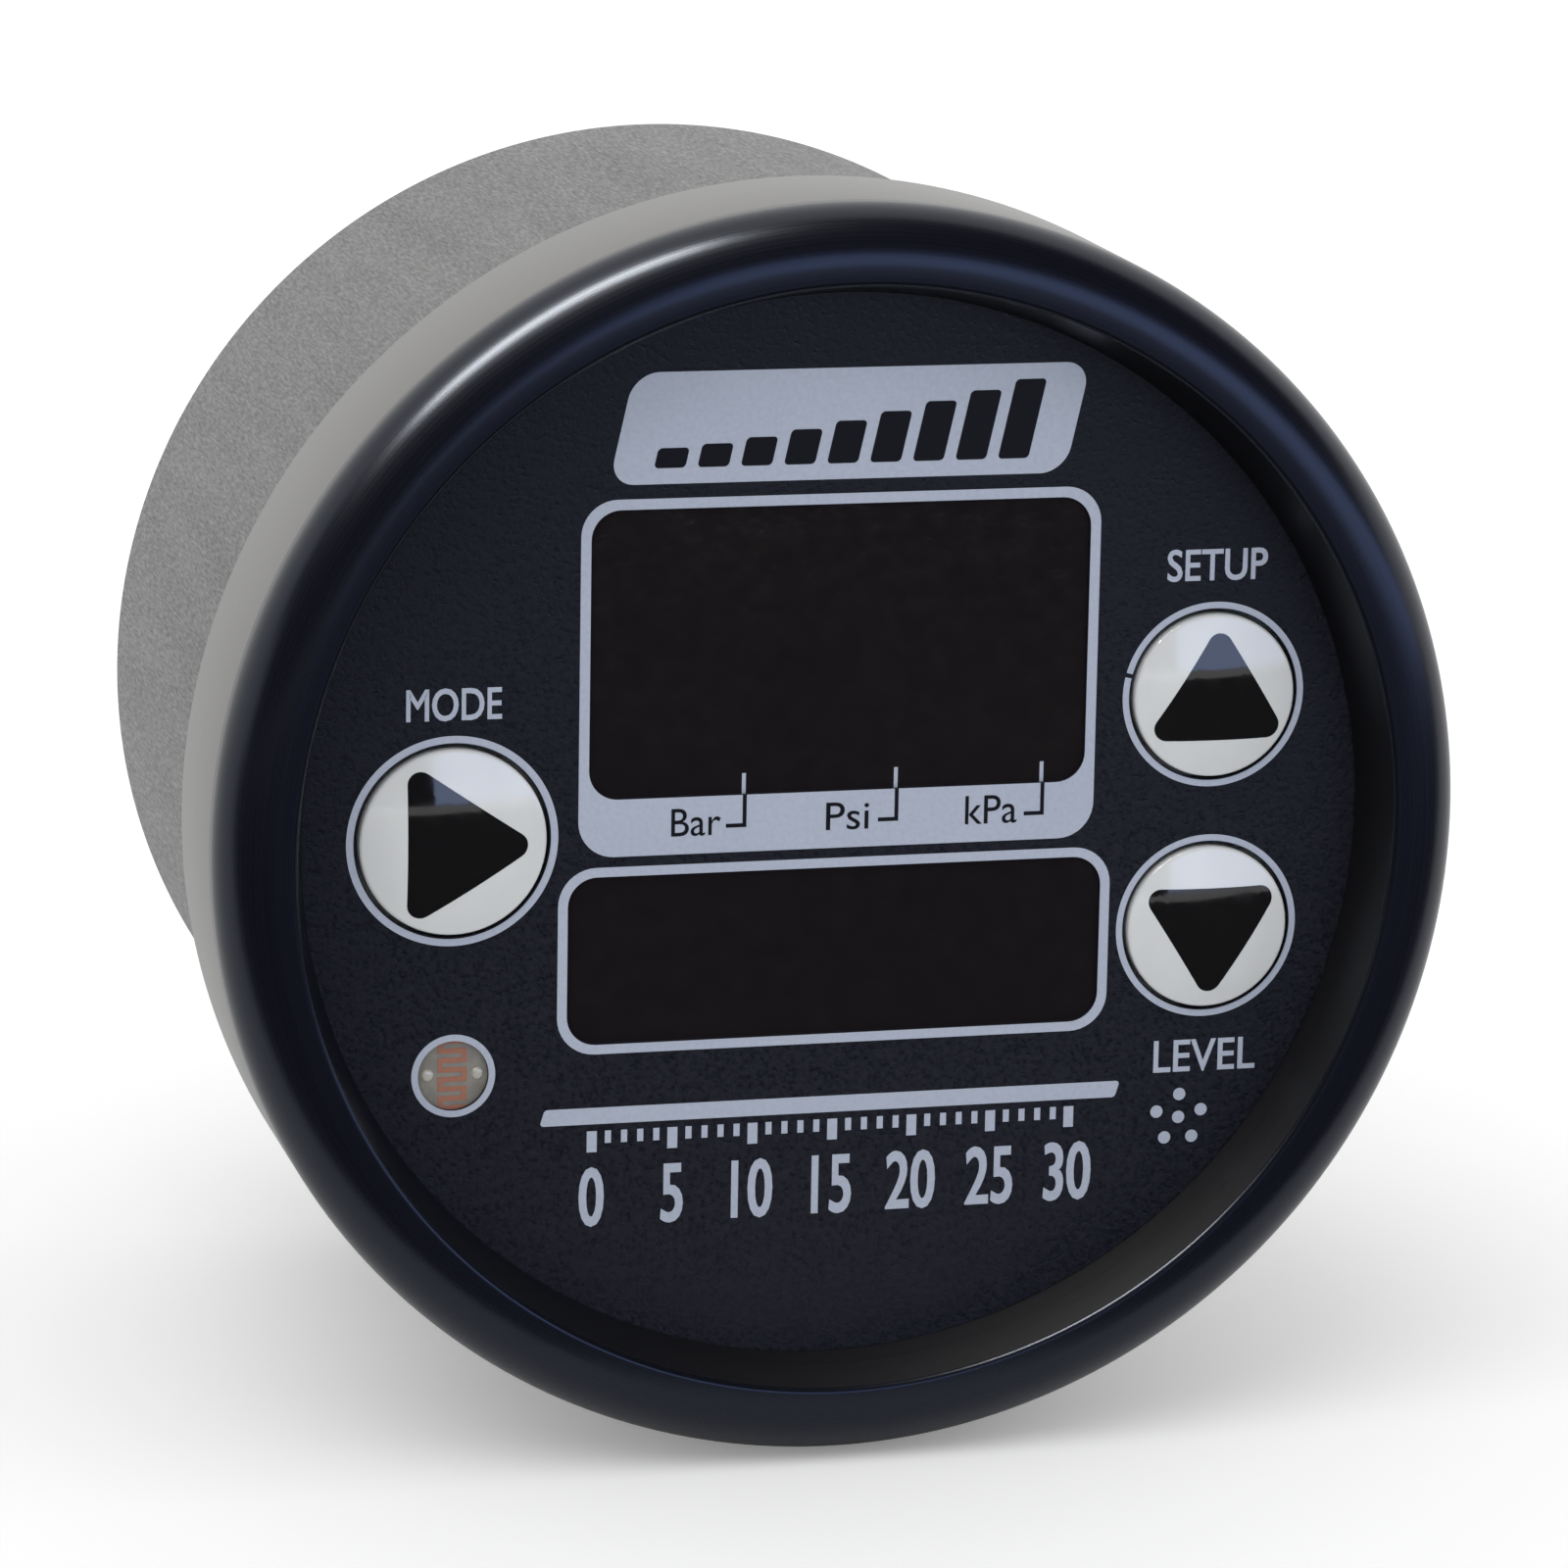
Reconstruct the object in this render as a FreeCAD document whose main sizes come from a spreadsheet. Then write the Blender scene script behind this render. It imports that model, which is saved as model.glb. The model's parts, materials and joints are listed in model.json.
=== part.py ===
import FreeCAD, Part
import math
import os
from types import SimpleNamespace

import Sketcher

# Gauge-type electronic boost controller, in millimetres.
# The gauge's axis is Y and its face looks towards -Y. The origin is the centre of the
# rear face of the flange ring, which is the face that rests on the panel.

DOCUMENT = FreeCAD.newDocument("boost_controller")
SHEET_NAME = "Sizes"

# Driving dimensions
DIMENSIONS = {
    "body_diameter": 60.0,
    "body_length": 35.5,
    "flange_step": 2.0,
    "flange_seat_chamfer": 0.5,
    "flange_length": 9.0,
    "edge_break": 0.2,
    "rear_edge_break": 0.5,
    "tube_front_wall": 2.0,
    "tube_rear_wall": 3.6,
    "slip_clearance": 0.05,
    "bezel_height": 3.1,
    "bezel_round": 2.9,
    "bezel_crest_inset": 3.8,
    "bezel_inner_slope": 0.9,
    "bezel_spigot_wall": 0.75,
    "overlay_recess": 0.8,
    "overlay_thickness": 0.25,
    "lens_thickness": 1.4,
    "gasket_thickness": 0.5,
    "gasket_width": 1.4,
    "window_side_margin": 15.76,
    "upper_window_height": 14.66,
    "upper_window_centre": 9.37,
    "lower_window_extra_width": 2.02,
    "lower_window_height": 8.66,
    "lower_window_centre": -6.23,
    "window_corner": 1.5,
    "mode_edge_inset": 8.87,
    "mode_up": 0.26,
    "mode_cap_diameter": 9.46,
    "arrow_edge_inset": 9.05,
    "up_up": 6.29,
    "down_up": -5.81,
    "small_cap_diameter": 8.42,
    "cap_gap": 0.2,
    "cap_edge_proud": 0.3,
    "cap_crown": 0.55,
    "cap_flange_width": 0.75,
    "cap_flange_thickness": 0.8,
    "cap_rest_gap": 0.15,
    "cap_stem_diameter": 4.0,
    "switch_side": 6.0,
    "switch_height": 3.5,
    "switch_top_wall": 0.9,
    "switch_floor": 0.7,
    "switch_cavity_diameter": 5.0,
    "plunger_diameter": 3.4,
    "plunger_proud": 1.8,
    "plunger_collar_diameter": 4.6,
    "plunger_collar_thickness": 0.6,
    "plunger_collar_gap": 0.1,
    "plunger_nub_diameter": 1.6,
    "press_travel": 0.5,
    "snap_dome_diameter": 4.8,
    "snap_dome_rise": 0.4,
    "snap_dome_thickness": 0.1,
    "sensor_edge_inset": 8.98,
    "sensor_up": -11.8,
    "sensor_diameter": 4.2,
    "sensor_thickness": 2.0,
    "sensor_window_diameter": 3.6,
    "sensor_lead_pitch": 2.5,
    "sensor_lead_diameter": 0.5,
    "lead_clearance": 0.15,
    "lead_overhang": 1.0,
    "display_depth": 7.0,
    "upper_display_margin": 1.59,
    "upper_display_height": 14.0,
    "lower_display_margin": 1.25,
    "lower_display_height": 8.2,
    "display_pin_diameter": 0.5,
    "display_pin_inset": 1.2,
    "pin_pitch": 2.54,
    "board_shoulder": 2.6,
    "board_thickness": 1.6,
    "board_edge_gap": 0.2,
    "buzzer_edge_inset": 10.6,
    "buzzer_up": -15.6,
    "buzzer_diameter": 6.0,
    "buzzer_height": 5.0,
    "buzzer_hole_diameter": 1.4,
    "buzzer_hole_depth": 1.5,
    "pillar_wall_inset": 3.4,
    "pillar_across_flats": 5.0,
    "rear_pillar_length": 12.7,
    "pillar_bore_depth": 8.0,
    "thread_diameter": 2.5,
    "pillar_stud_length": 5.0,
    "screw_head_diameter": 4.8,
    "screw_head_height": 1.6,
    "screw_grip": 6.0,
    "screw_end_gap": 1.7,
    "screw_socket": 1.5,
    "screw_socket_depth": 0.8,
    "cover_thickness": 2.2,
    "cover_rim_wall": 1.6,
    "cover_screw_sink": 1.3,
    "header_up": -14.6,
    "header_pin_diameter": 0.64,
    "header_base_height": 2.5,
    "header_gap": 5.4,
    "header_socket_floor": 1.5,
    "header_pin_end_gap": 0.5,
    "chip_edge_inset": 12.3,
    "chip_up": 1.0,
    "chip_side": 10.0,
    "chip_height": 1.4,
    "chip_lead_reach": 1.0,
    "chip_lead_thickness": 0.2,
    "connector_up": -9.0,
    "connector_width": 20.0,
    "connector_height": 9.0,
    "connector_wall": 1.2,
    "connector_proud": 9.0,
    "connector_depth": 8.0,
    "connector_pin_diameter": 1.2,
    "connector_pin_free": 3.2,
    "connector_pitch_across": 4.2,
    "connector_pitch_up": 3.0,
    "port_across": -11.0,
    "port_up": 8.0,
    "pressure_sensor_side": 10.0,
    "pressure_sensor_height": 5.0,
    "pressure_port_diameter": 3.0,
    "port_gap": 0.4,
    "hose_wall": 1.1,
    "hose_end_gap": 0.3,
    "barb_bore_diameter": 1.6,
    "barb_shank_diameter": 6.0,
    "barb_hex": 8.0,
    "barb_hex_height": 3.0,
    "barb_nut_height": 2.0,
    "barb_neck_diameter": 3.8,
    "barb_crest_diameter": 5.0,
    "barb_pitch": 3.4,
    "barb_spigot_length": 2.3,
    "stud_spread": 36.0,
    "stud_diameter": 4.0,
    "stud_shank_diameter": 5.0,
    "stud_proud": 14.0,
    "stud_head_diameter": 8.0,
    "stud_head_height": 1.8,
    "stud_nut_hex": 8.0,
    "stud_nut_height": 2.7,
    "capacitor_across": 12.0,
    "capacitor_up": 9.0,
    "capacitor_diameter": 8.0,
    "capacitor_length": 10.0,
    "transistor_across": -13.0,
    "transistor_up": 6.0,
    "transistor_width": 6.5,
    "transistor_depth": 6.1,
    "transistor_height": 2.3,
    "regulator_across": 0.0,
    "regulator_up": 17.0,
    "regulator_width": 6.5,
    "regulator_depth": 3.5,
    "regulator_height": 1.6,
    "tab_thickness": 0.5,
    "tab_reach": 1.7,
}

PILLAR_ANGLES = (60.0, 120.0, 240.0, 300.0)
UPPER_DISPLAY_PINS = 6
LOWER_DISPLAY_PINS = 7
HEADER_COLUMNS = 6
CONNECTOR_COLUMNS = 4
BARB_CRESTS = 3
BARB_NECK_SHARE = 0.4
HEX_ACROSS_CORNERS = 2.0 / math.sqrt(3.0)


class Length:
    """A size that carries its number and the sheet expression that drives it."""

    def __init__(self, text, number):
        self.text = text
        self.number = number

    def combine(self, sign, other, number):
        other_text = other.text if isinstance(other, Length) else repr(float(other))
        return Length(f"({self.text} {sign} {other_text})", number)

    def __add__(self, other):
        return self.combine("+", other, self.number + as_number(other))

    def __sub__(self, other):
        return self.combine("-", other, self.number - as_number(other))

    def __mul__(self, other):
        return self.combine("*", other, self.number * as_number(other))

    def __truediv__(self, other):
        return self.combine("/", other, self.number / as_number(other))

    def __neg__(self):
        return self * -1.0


def as_number(value):
    """The plain number of a Length or of a bare number."""
    return value.number if isinstance(value, Length) else float(value)


def make_sheet():
    """Write the driving dimensions into the sheet and hand them back by name."""
    sheet = DOCUMENT.addObject("Spreadsheet::Sheet", SHEET_NAME)
    sizes = {}
    for row, (name, value) in enumerate(DIMENSIONS.items(), start=1):
        sheet.set(f"A{row}", name)
        sheet.set(f"B{row}", str(value))
        sheet.setAlias(f"B{row}", name)
        sizes[name] = Length(f"{SHEET_NAME}.{name}", value)
    DOCUMENT.recompute()
    return SimpleNamespace(**sizes)


size = make_sheet()
ZERO = Length("0", 0.0)
NODES = []

# Places along the gauge's axis, front to rear
flange_front = -size.flange_length
bezel_front = flange_front - size.bezel_height
overlay_front = flange_front + size.overlay_recess
lens_front = overlay_front + size.overlay_thickness
lens_back = lens_front + size.lens_thickness
tube_front = lens_back + size.gasket_thickness
front_board_back = size.board_shoulder
front_board_front = front_board_back - size.board_thickness
cover_back = size.body_length
cover_front = cover_back - size.cover_thickness
rear_board_back = cover_front - size.rear_pillar_length
rear_board_front = rear_board_back - size.board_thickness
cover_shoulder = cover_front - size.gasket_thickness
switch_front = front_board_front - size.switch_height
plunger_front = switch_front - size.plunger_proud
switch_cavity_front = switch_front + size.switch_top_wall
switch_cavity_back = front_board_front - size.switch_floor

# Radii shared by pieces that fit each other
body_radius = size.body_diameter / 2
flange_radius = body_radius + size.flange_step
crest_radius = flange_radius - size.bezel_crest_inset
lip_radius = crest_radius - size.bezel_inner_slope
seat_radius = body_radius - size.flange_seat_chamfer
spigot_radius = seat_radius - size.slip_clearance
recess_radius = spigot_radius - size.bezel_spigot_wall
tube_front_bore = body_radius - size.tube_front_wall
tube_rear_bore = body_radius - size.tube_rear_wall
face_radius = recess_radius - size.slip_clearance * 2
front_board_radius = tube_front_bore - size.board_edge_gap
cover_seat = body_radius - size.cover_rim_wall
cover_radius = cover_seat - size.slip_clearance
thread_radius = size.thread_diameter / 2
thread_bore = thread_radius + size.slip_clearance
board_hole = thread_radius + size.lead_clearance


def bind(item, bindings):
    """Drive an item's properties from the sheet."""
    for name, length in bindings.items():
        item.setExpression(name, length.text)


def place(item, across, front, up):
    """Drive an item's position."""
    bind(item, {"Placement.Base.x": across, "Placement.Base.y": front, "Placement.Base.z": up})


def along_axis(item):
    """Turn an item that was made along Z so that it runs towards +Y."""
    item.Placement = FreeCAD.Placement(FreeCAD.Vector(), FreeCAD.Rotation(FreeCAD.Vector(1, 0, 0), -90))


def rod(name, radius, front, length, across=ZERO, up=ZERO):
    """A round bar along Y that starts at front."""
    item = DOCUMENT.addObject("Part::Cylinder", name)
    along_axis(item)
    bind(item, {"Radius": radius, "Height": length})
    place(item, across, front, up)
    return item


def taper(name, front_radius, back_radius, front, length, across=ZERO, up=ZERO):
    """A cone along Y."""
    item = DOCUMENT.addObject("Part::Cone", name)
    along_axis(item)
    bind(item, {"Radius1": front_radius, "Radius2": back_radius, "Height": length})
    place(item, across, front, up)
    return item


def hexagon(name, across_flats, front, length, across=ZERO, up=ZERO):
    """A hexagonal bar along Y."""
    item = DOCUMENT.addObject("Part::Prism", name)
    item.Polygon = 6
    along_axis(item)
    bind(item, {"Circumradius": across_flats / 2 * HEX_ACROSS_CORNERS, "Height": length})
    place(item, across, front, up)
    return item


def block(name, width, length, height, front, across=ZERO, up=ZERO):
    """A box centred across and up, that starts at front."""
    item = DOCUMENT.addObject("Part::Box", name)
    bind(item, {"Length": width, "Width": length, "Height": height})
    place(item, across - width / 2, front, up - height / 2)
    return item


def fuse(name, *items):
    """Several forms joined into one."""
    item = DOCUMENT.addObject("Part::MultiFuse", name)
    item.Shapes = list(items)
    item.Refine = True
    return item


def cut(name, base, *tools):
    """A form with one or more tools taken out of it."""
    item = DOCUMENT.addObject("Part::Cut", name)
    item.Base = base
    item.Tool = tools[0] if len(tools) == 1 else fuse(name + "_tools", *tools)
    item.Refine = True
    return item


def group(name, *items):
    """Like pieces kept as separate solids in one node."""
    item = DOCUMENT.addObject("Part::Compound", name)
    item.Links = list(items)
    return item


def rounded_block(name, width, length, height, corner, front, across=ZERO, up=ZERO):
    """A box along Y with its four long edges rounded."""
    wide = block(name + "_wide", width, length, height - corner * 2, front, across, up)
    tall = block(name + "_tall", width - corner * 2, length, height, front, across, up)
    corners = []
    for number, (side, rise) in enumerate(((-1, -1), (1, -1), (1, 1), (-1, 1))):
        x = across + (width / 2 - corner) * side
        z = up + (height / 2 - corner) * rise
        corners.append(rod(f"{name}_corner_{number}", corner, front, length, x, z))
    return fuse(name, wide, tall, *corners)


def keep(item):
    """Hand a finished sub-part in, under its own name."""
    NODES.append(item)
    return item


def origin_plane(body, role):
    """The body's own origin plane with this role."""
    return next(item for item in body.Origin.OriginFeatures if item.Role == role)


def pin_point(sketch, edge, corner, label, radius, axial):
    """Drive one sketch point's distance from the axis and along it."""
    for kind, suffix, length in (("DistanceX", "radius", radius), ("DistanceY", "axial", axial)):
        index = sketch.addConstraint(Sketcher.Constraint(kind, -1, 1, edge, corner, length.number))
        sketch.renameConstraint(index, f"{label}_{suffix}")
        sketch.setExpression(f"Constraints.{label}_{suffix}", length.text)


def turned(name, corners, arcs=None, across=None, up=None):
    """A piece turned about Y from the corners (radius, axial) of its section.

    arcs maps the number of an edge to the distance of its centre from the axis: that edge
    then runs as an arc from its corner to the next one, and bulges away from its centre.
    """
    arcs = arcs or {}
    body = DOCUMENT.addObject("PartDesign::Body", name)
    sketch = body.newObject("Sketcher::SketchObject", name + "_section")
    sketch.AttachmentSupport = (origin_plane(body, "XY_Plane"), [""])
    sketch.MapMode = "FlatFace"
    count = len(corners)
    starts = []
    for number, (radius, axial) in enumerate(corners):
        next_radius, next_axial = corners[(number + 1) % count]
        first = FreeCAD.Vector(radius.number, axial.number, 0)
        last = FreeCAD.Vector(next_radius.number, next_axial.number, 0)
        if number in arcs:
            starts.append(add_arc(sketch, first, last, arcs[number].number))
        else:
            sketch.addGeometry(Part.LineSegment(first, last), False)
            starts.append((1, 2))
    for number in range(count):
        follower = (number + 1) % count
        sketch.addConstraint(
            Sketcher.Constraint("Coincident", number, starts[number][1], follower, starts[follower][0])
        )
    for number, (radius, axial) in enumerate(corners):
        pin_point(sketch, number, starts[number][0], f"corner_{number}", radius, axial)
    for number, centre in arcs.items():
        index = sketch.addConstraint(Sketcher.Constraint("DistanceX", -1, 1, number, 3, centre.number))
        sketch.renameConstraint(index, f"arc_{number}_centre")
        sketch.setExpression(f"Constraints.arc_{number}_centre", centre.text)
    turn = body.newObject("PartDesign::Revolution", name + "_turn")
    turn.Profile = sketch
    turn.ReferenceAxis = (sketch, ["V_Axis"])
    turn.Angle = 360.0
    if across is not None:
        bind(body, {"Placement.Base.x": across, "Placement.Base.z": up})
    return body


def add_arc(sketch, first, last, centre_radius):
    """Add an arc between two points, and say which of its ends is its first and its last."""
    middle = (first + last) / 2
    chord = last - first
    # the centre lies on the chord's perpendicular, at the given distance from the axis
    along = (centre_radius - middle.x) / -chord.y
    centre = middle + FreeCAD.Vector(-chord.y, chord.x, 0) * along
    radius = (first - centre).Length
    start_angle = math.atan2(first.y - centre.y, first.x - centre.x)
    end_angle = math.atan2(last.y - centre.y, last.x - centre.x)
    circle = Part.Circle(centre, FreeCAD.Vector(0, 0, 1), radius)
    forward = (end_angle - start_angle) % (2 * math.pi)
    if forward < math.pi:
        sketch.addGeometry(Part.ArcOfCircle(circle, start_angle, start_angle + forward), False)
        return (1, 2)
    sketch.addGeometry(Part.ArcOfCircle(circle, end_angle, end_angle + 2 * math.pi - forward), False)
    return (2, 1)


def row(count, pitch):
    """Offsets of a centred row."""
    return [pitch * (number - (count - 1) / 2) for number in range(count)]


# Outer shells: the black bezel ring, the turned flange ring and the blasted can


def make_bezel_ring():
    spigot_back = tube_front - size.slip_clearance
    round_start = flange_radius - size.bezel_round
    return turned("bezel_ring", [
        (lip_radius, overlay_front),
        (crest_radius, bezel_front),
        (round_start, bezel_front),
        (flange_radius, bezel_front + size.bezel_round),
        (flange_radius, flange_front),
        (spigot_radius, flange_front),
        (spigot_radius, spigot_back),
        (recess_radius, spigot_back),
        (recess_radius, overlay_front),
    ], arcs={2: round_start})


def make_flange_ring():
    return turned("flange_ring", [
        (seat_radius, flange_front),
        (flange_radius - size.edge_break, flange_front),
        (flange_radius, flange_front + size.edge_break),
        (flange_radius, -size.edge_break),
        (flange_radius - size.edge_break, ZERO),
        (body_radius, ZERO),
        (seat_radius, -size.flange_seat_chamfer),
    ])


def make_can_tube():
    return turned("can_tube", [
        (tube_front_bore, tube_front),
        (seat_radius, tube_front),
        (seat_radius, -size.flange_seat_chamfer),
        (body_radius, ZERO),
        (body_radius, cover_back - size.rear_edge_break),
        (body_radius - size.rear_edge_break, cover_back),
        (cover_seat, cover_back),
        (cover_seat, cover_shoulder),
        (tube_rear_bore, cover_shoulder),
        (tube_rear_bore, front_board_back),
        (tube_front_bore, front_board_back),
    ])


def make_ring(name, inner_radius, outer_radius, front, back, across=None, up=None):
    """A plain ring of rectangular section."""
    return turned(name, [
        (inner_radius, front),
        (outer_radius, front),
        (outer_radius, back),
        (inner_radius, back),
    ], across=across, up=up)


# Face: printed film on a smoked lens, with holes for the caps and the light sensor

arrow_across = face_radius - size.arrow_edge_inset
KEYS = {
    "mode": (size.mode_edge_inset - face_radius, size.mode_up, size.mode_cap_diameter / 2),
    "up": (arrow_across, size.up_up, size.small_cap_diameter / 2),
    "down": (arrow_across, size.down_up, size.small_cap_diameter / 2),
}
sensor_across = size.sensor_edge_inset - face_radius
upper_window_width = (face_radius - size.window_side_margin) * 2
lower_window_width = upper_window_width + size.lower_window_extra_width


def key_holes(name, front, length):
    """Cutters for the three key caps."""
    return [
        rod(f"{name}_{key}_hole", cap_radius + size.cap_gap, front, length, across, up)
        for key, (across, up, cap_radius) in KEYS.items()
    ]


def make_graphic_overlay():
    film = rod("film_disc", face_radius, overlay_front, size.overlay_thickness)
    cutters = key_holes("film", overlay_front, size.overlay_thickness)
    cutters.append(rod("film_sensor_hole", size.sensor_window_diameter / 2, overlay_front,
                       size.overlay_thickness, sensor_across, size.sensor_up))
    cutters.append(rounded_block("film_upper_window", upper_window_width, size.overlay_thickness,
                                 size.upper_window_height, size.window_corner, overlay_front,
                                 ZERO, size.upper_window_centre))
    cutters.append(rounded_block("film_lower_window", lower_window_width, size.overlay_thickness,
                                 size.lower_window_height, size.window_corner, overlay_front,
                                 ZERO, size.lower_window_centre))
    return cut("graphic_overlay", film, *cutters)


def make_smoked_lens():
    disc = rod("lens_disc", face_radius, lens_front, size.lens_thickness)
    sensor_hole = size.sensor_diameter / 2 + size.slip_clearance * 2
    cutters = key_holes("lens", lens_front, size.lens_thickness)
    cutters.append(rod("lens_sensor_hole", sensor_hole, lens_front, size.lens_thickness,
                       sensor_across, size.sensor_up))
    return cut("smoked_lens", disc, *cutters)


# Keys: a domed cap with its stem, and the switch under it

dome_apex = switch_cavity_back - size.snap_dome_rise


def make_cap(key, across, up, cap_radius):
    flange_seat = lens_back + size.cap_rest_gap
    flange_end = flange_seat + size.cap_flange_thickness
    edge = overlay_front - size.cap_edge_proud
    stem = size.cap_stem_diameter / 2
    return turned(f"{key}_button", [
        (ZERO, edge - size.cap_crown),
        (cap_radius, edge),
        (cap_radius, flange_seat),
        (cap_radius + size.cap_flange_width, flange_seat),
        (cap_radius + size.cap_flange_width, flange_end),
        (stem, flange_end),
        (stem, plunger_front),
        (ZERO, plunger_front),
    ], arcs={0: ZERO}, across=across, up=up)


def make_plunger(key, across, up):
    collar_front = switch_cavity_front + size.plunger_collar_gap
    collar_back = collar_front + size.plunger_collar_thickness
    nub_back = dome_apex - size.press_travel - size.slip_clearance
    return turned(f"{key}_plunger", [
        (ZERO, plunger_front),
        (size.plunger_diameter / 2, plunger_front),
        (size.plunger_diameter / 2, collar_front),
        (size.plunger_collar_diameter / 2, collar_front),
        (size.plunger_collar_diameter / 2, collar_back),
        (size.plunger_nub_diameter / 2, collar_back),
        (size.plunger_nub_diameter / 2, nub_back),
        (ZERO, nub_back),
    ], across=across, up=up)


def make_switch(key, across, up):
    case = block(f"{key}_switch_case", size.switch_side, size.switch_height, size.switch_side,
                 switch_front, across, up)
    bore = rod(f"{key}_switch_bore", size.plunger_diameter / 2 + size.slip_clearance, switch_front,
               size.switch_top_wall * 1.5, across, up)
    cavity = rod(f"{key}_switch_cavity", size.switch_cavity_diameter / 2, switch_cavity_front,
                 switch_cavity_back - switch_cavity_front, across, up)
    return cut(f"{key}_switch", case, bore, cavity)


def make_snap_dome(key, across, up):
    rim = size.snap_dome_diameter / 2
    return turned(f"{key}_snap_dome", [
        (ZERO, dome_apex),
        (rim, switch_cavity_back - size.snap_dome_thickness),
        (rim, switch_cavity_back),
        (rim - size.snap_dome_thickness * 3, switch_cavity_back),
        (ZERO, dome_apex + size.snap_dome_thickness),
    ], arcs={0: ZERO, 3: ZERO}, across=across, up=up)


# Front board and what it carries: displays, light sensor, buzzer, controller chip

sensor_leads = [
    (sensor_across + size.sensor_lead_pitch / 2 * side, size.sensor_up) for side in (-1, 1)
]
header_socket_height = rear_board_front - front_board_back - size.header_base_height - size.header_gap
header_places = [
    (across, size.header_up + size.pin_pitch / 2 * side)
    for side in (-1, 1)
    for across in row(HEADER_COLUMNS, size.pin_pitch)
]
pillar_reach = tube_rear_bore - size.pillar_wall_inset
pillar_places = [
    (pillar_reach * math.cos(math.radians(angle)), pillar_reach * math.sin(math.radians(angle)))
    for angle in PILLAR_ANGLES
]


def display_pin_places(height, centre, count):
    """Where a display's two rows of pins stand."""
    reach = height / 2 - size.display_pin_inset
    return [(across, centre + reach * side) for side in (-1, 1) for across in row(count, size.pin_pitch)]


upper_pins = display_pin_places(size.upper_display_height, size.upper_window_centre, UPPER_DISPLAY_PINS)
lower_pins = display_pin_places(size.lower_display_height, size.lower_window_centre, LOWER_DISPLAY_PINS)


def rods_at(name, radius, front, length, places):
    """One rod at each place."""
    return [
        rod(f"{name}_{number}", radius, front, length, across, up)
        for number, (across, up) in enumerate(places)
    ]


def make_display(name, width, height, centre, places):
    case = block(f"{name}_case", width, size.display_depth, height,
                 front_board_front - size.display_depth, ZERO, centre)
    front = front_board_front - size.lead_overhang
    length = front_board_back + size.lead_overhang - front
    pins = rods_at(f"{name}_pin", size.display_pin_diameter / 2, front, length, places)
    return fuse(name, case, *pins)


def make_light_sensor():
    front = lens_front + size.slip_clearance
    disc = rod("sensor_disc", size.sensor_diameter / 2, front, size.sensor_thickness,
               sensor_across, size.sensor_up)
    middle = front + size.sensor_thickness / 2
    leads = rods_at("sensor_lead", size.sensor_lead_diameter / 2, middle,
                    front_board_back + size.lead_overhang - middle, sensor_leads)
    return fuse("light_sensor", disc, *leads)


def make_front_board():
    disc = rod("front_board_disc", front_board_radius, front_board_front, size.board_thickness)
    cutters = []
    for name, radius, places in (
        ("front_pillar_hole", board_hole, pillar_places),
        ("sensor_lead_hole", size.sensor_lead_diameter / 2 + size.lead_clearance, sensor_leads),
        ("upper_pin_hole", size.display_pin_diameter / 2 + size.lead_clearance, upper_pins),
        ("lower_pin_hole", size.display_pin_diameter / 2 + size.lead_clearance, lower_pins),
        ("header_pin_hole", size.header_pin_diameter / 2 + size.lead_clearance, header_places),
    ):
        cutters.extend(rods_at(name, radius, front_board_front, size.board_thickness, places))
    return cut("front_board", disc, *cutters)


def make_buzzer():
    across = face_radius - size.buzzer_edge_inset
    front = front_board_front - size.buzzer_height
    case = rod("buzzer_case", size.buzzer_diameter / 2, front, size.buzzer_height,
               across, size.buzzer_up)
    hole = rod("buzzer_hole", size.buzzer_hole_diameter / 2, front, size.buzzer_hole_depth,
               across, size.buzzer_up)
    return cut("buzzer", case, hole)


def make_microcontroller():
    across = size.chip_edge_inset - front_board_radius
    reach = size.chip_side + size.chip_lead_reach * 2
    inset = size.chip_side - size.chip_lead_reach * 2
    case = block("chip_case", size.chip_side, size.chip_height, size.chip_side, front_board_back,
                 across, size.chip_up)
    side_leads = block("chip_side_leads", reach, size.chip_lead_thickness, inset, front_board_back,
                       across, size.chip_up)
    end_leads = block("chip_end_leads", inset, size.chip_lead_thickness, reach, front_board_back,
                      across, size.chip_up)
    return fuse("microcontroller", case, side_leads, end_leads)


def make_pin_header():
    base = block("header_base", size.pin_pitch * HEADER_COLUMNS, size.header_base_height,
                 size.pin_pitch * 2, front_board_back, ZERO, size.header_up)
    front = front_board_front - size.lead_overhang / 2
    tip = rear_board_front - size.header_socket_floor - size.header_pin_end_gap
    pins = rods_at("header_pin", size.header_pin_diameter / 2, front, tip - front, header_places)
    return fuse("pin_header", base, *pins)


def make_header_socket():
    front = rear_board_front - header_socket_height
    case = block("socket_case", size.pin_pitch * HEADER_COLUMNS, header_socket_height,
                 size.pin_pitch * 2, front, ZERO, size.header_up)
    depth = header_socket_height - size.header_socket_floor
    holes = rods_at("socket_hole", size.header_pin_diameter / 2 + size.slip_clearance, front, depth,
                    header_places)
    return cut("header_socket", case, *holes)


# Pillars and screws that clamp both boards against the can's shoulder


def screw_socket(name, front, across, up):
    """Cutter for a screw's hexagon socket."""
    return hexagon(name, size.screw_socket, front, size.screw_socket_depth, across, up)


def make_front_screw(number, across, up):
    head_front = front_board_front - size.screw_head_height
    head = rod(f"front_screw_head_{number}", size.screw_head_diameter / 2, head_front,
               size.screw_head_height, across, up)
    shank = rod(f"front_screw_shank_{number}", thread_radius, front_board_front,
                size.board_thickness + size.screw_grip, across, up)
    whole = fuse(f"front_screw_blank_{number}", head, shank)
    socket = screw_socket(f"front_screw_hex_{number}", head_front, across, up)
    return cut(f"front_screw_{number}", whole, socket)


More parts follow.
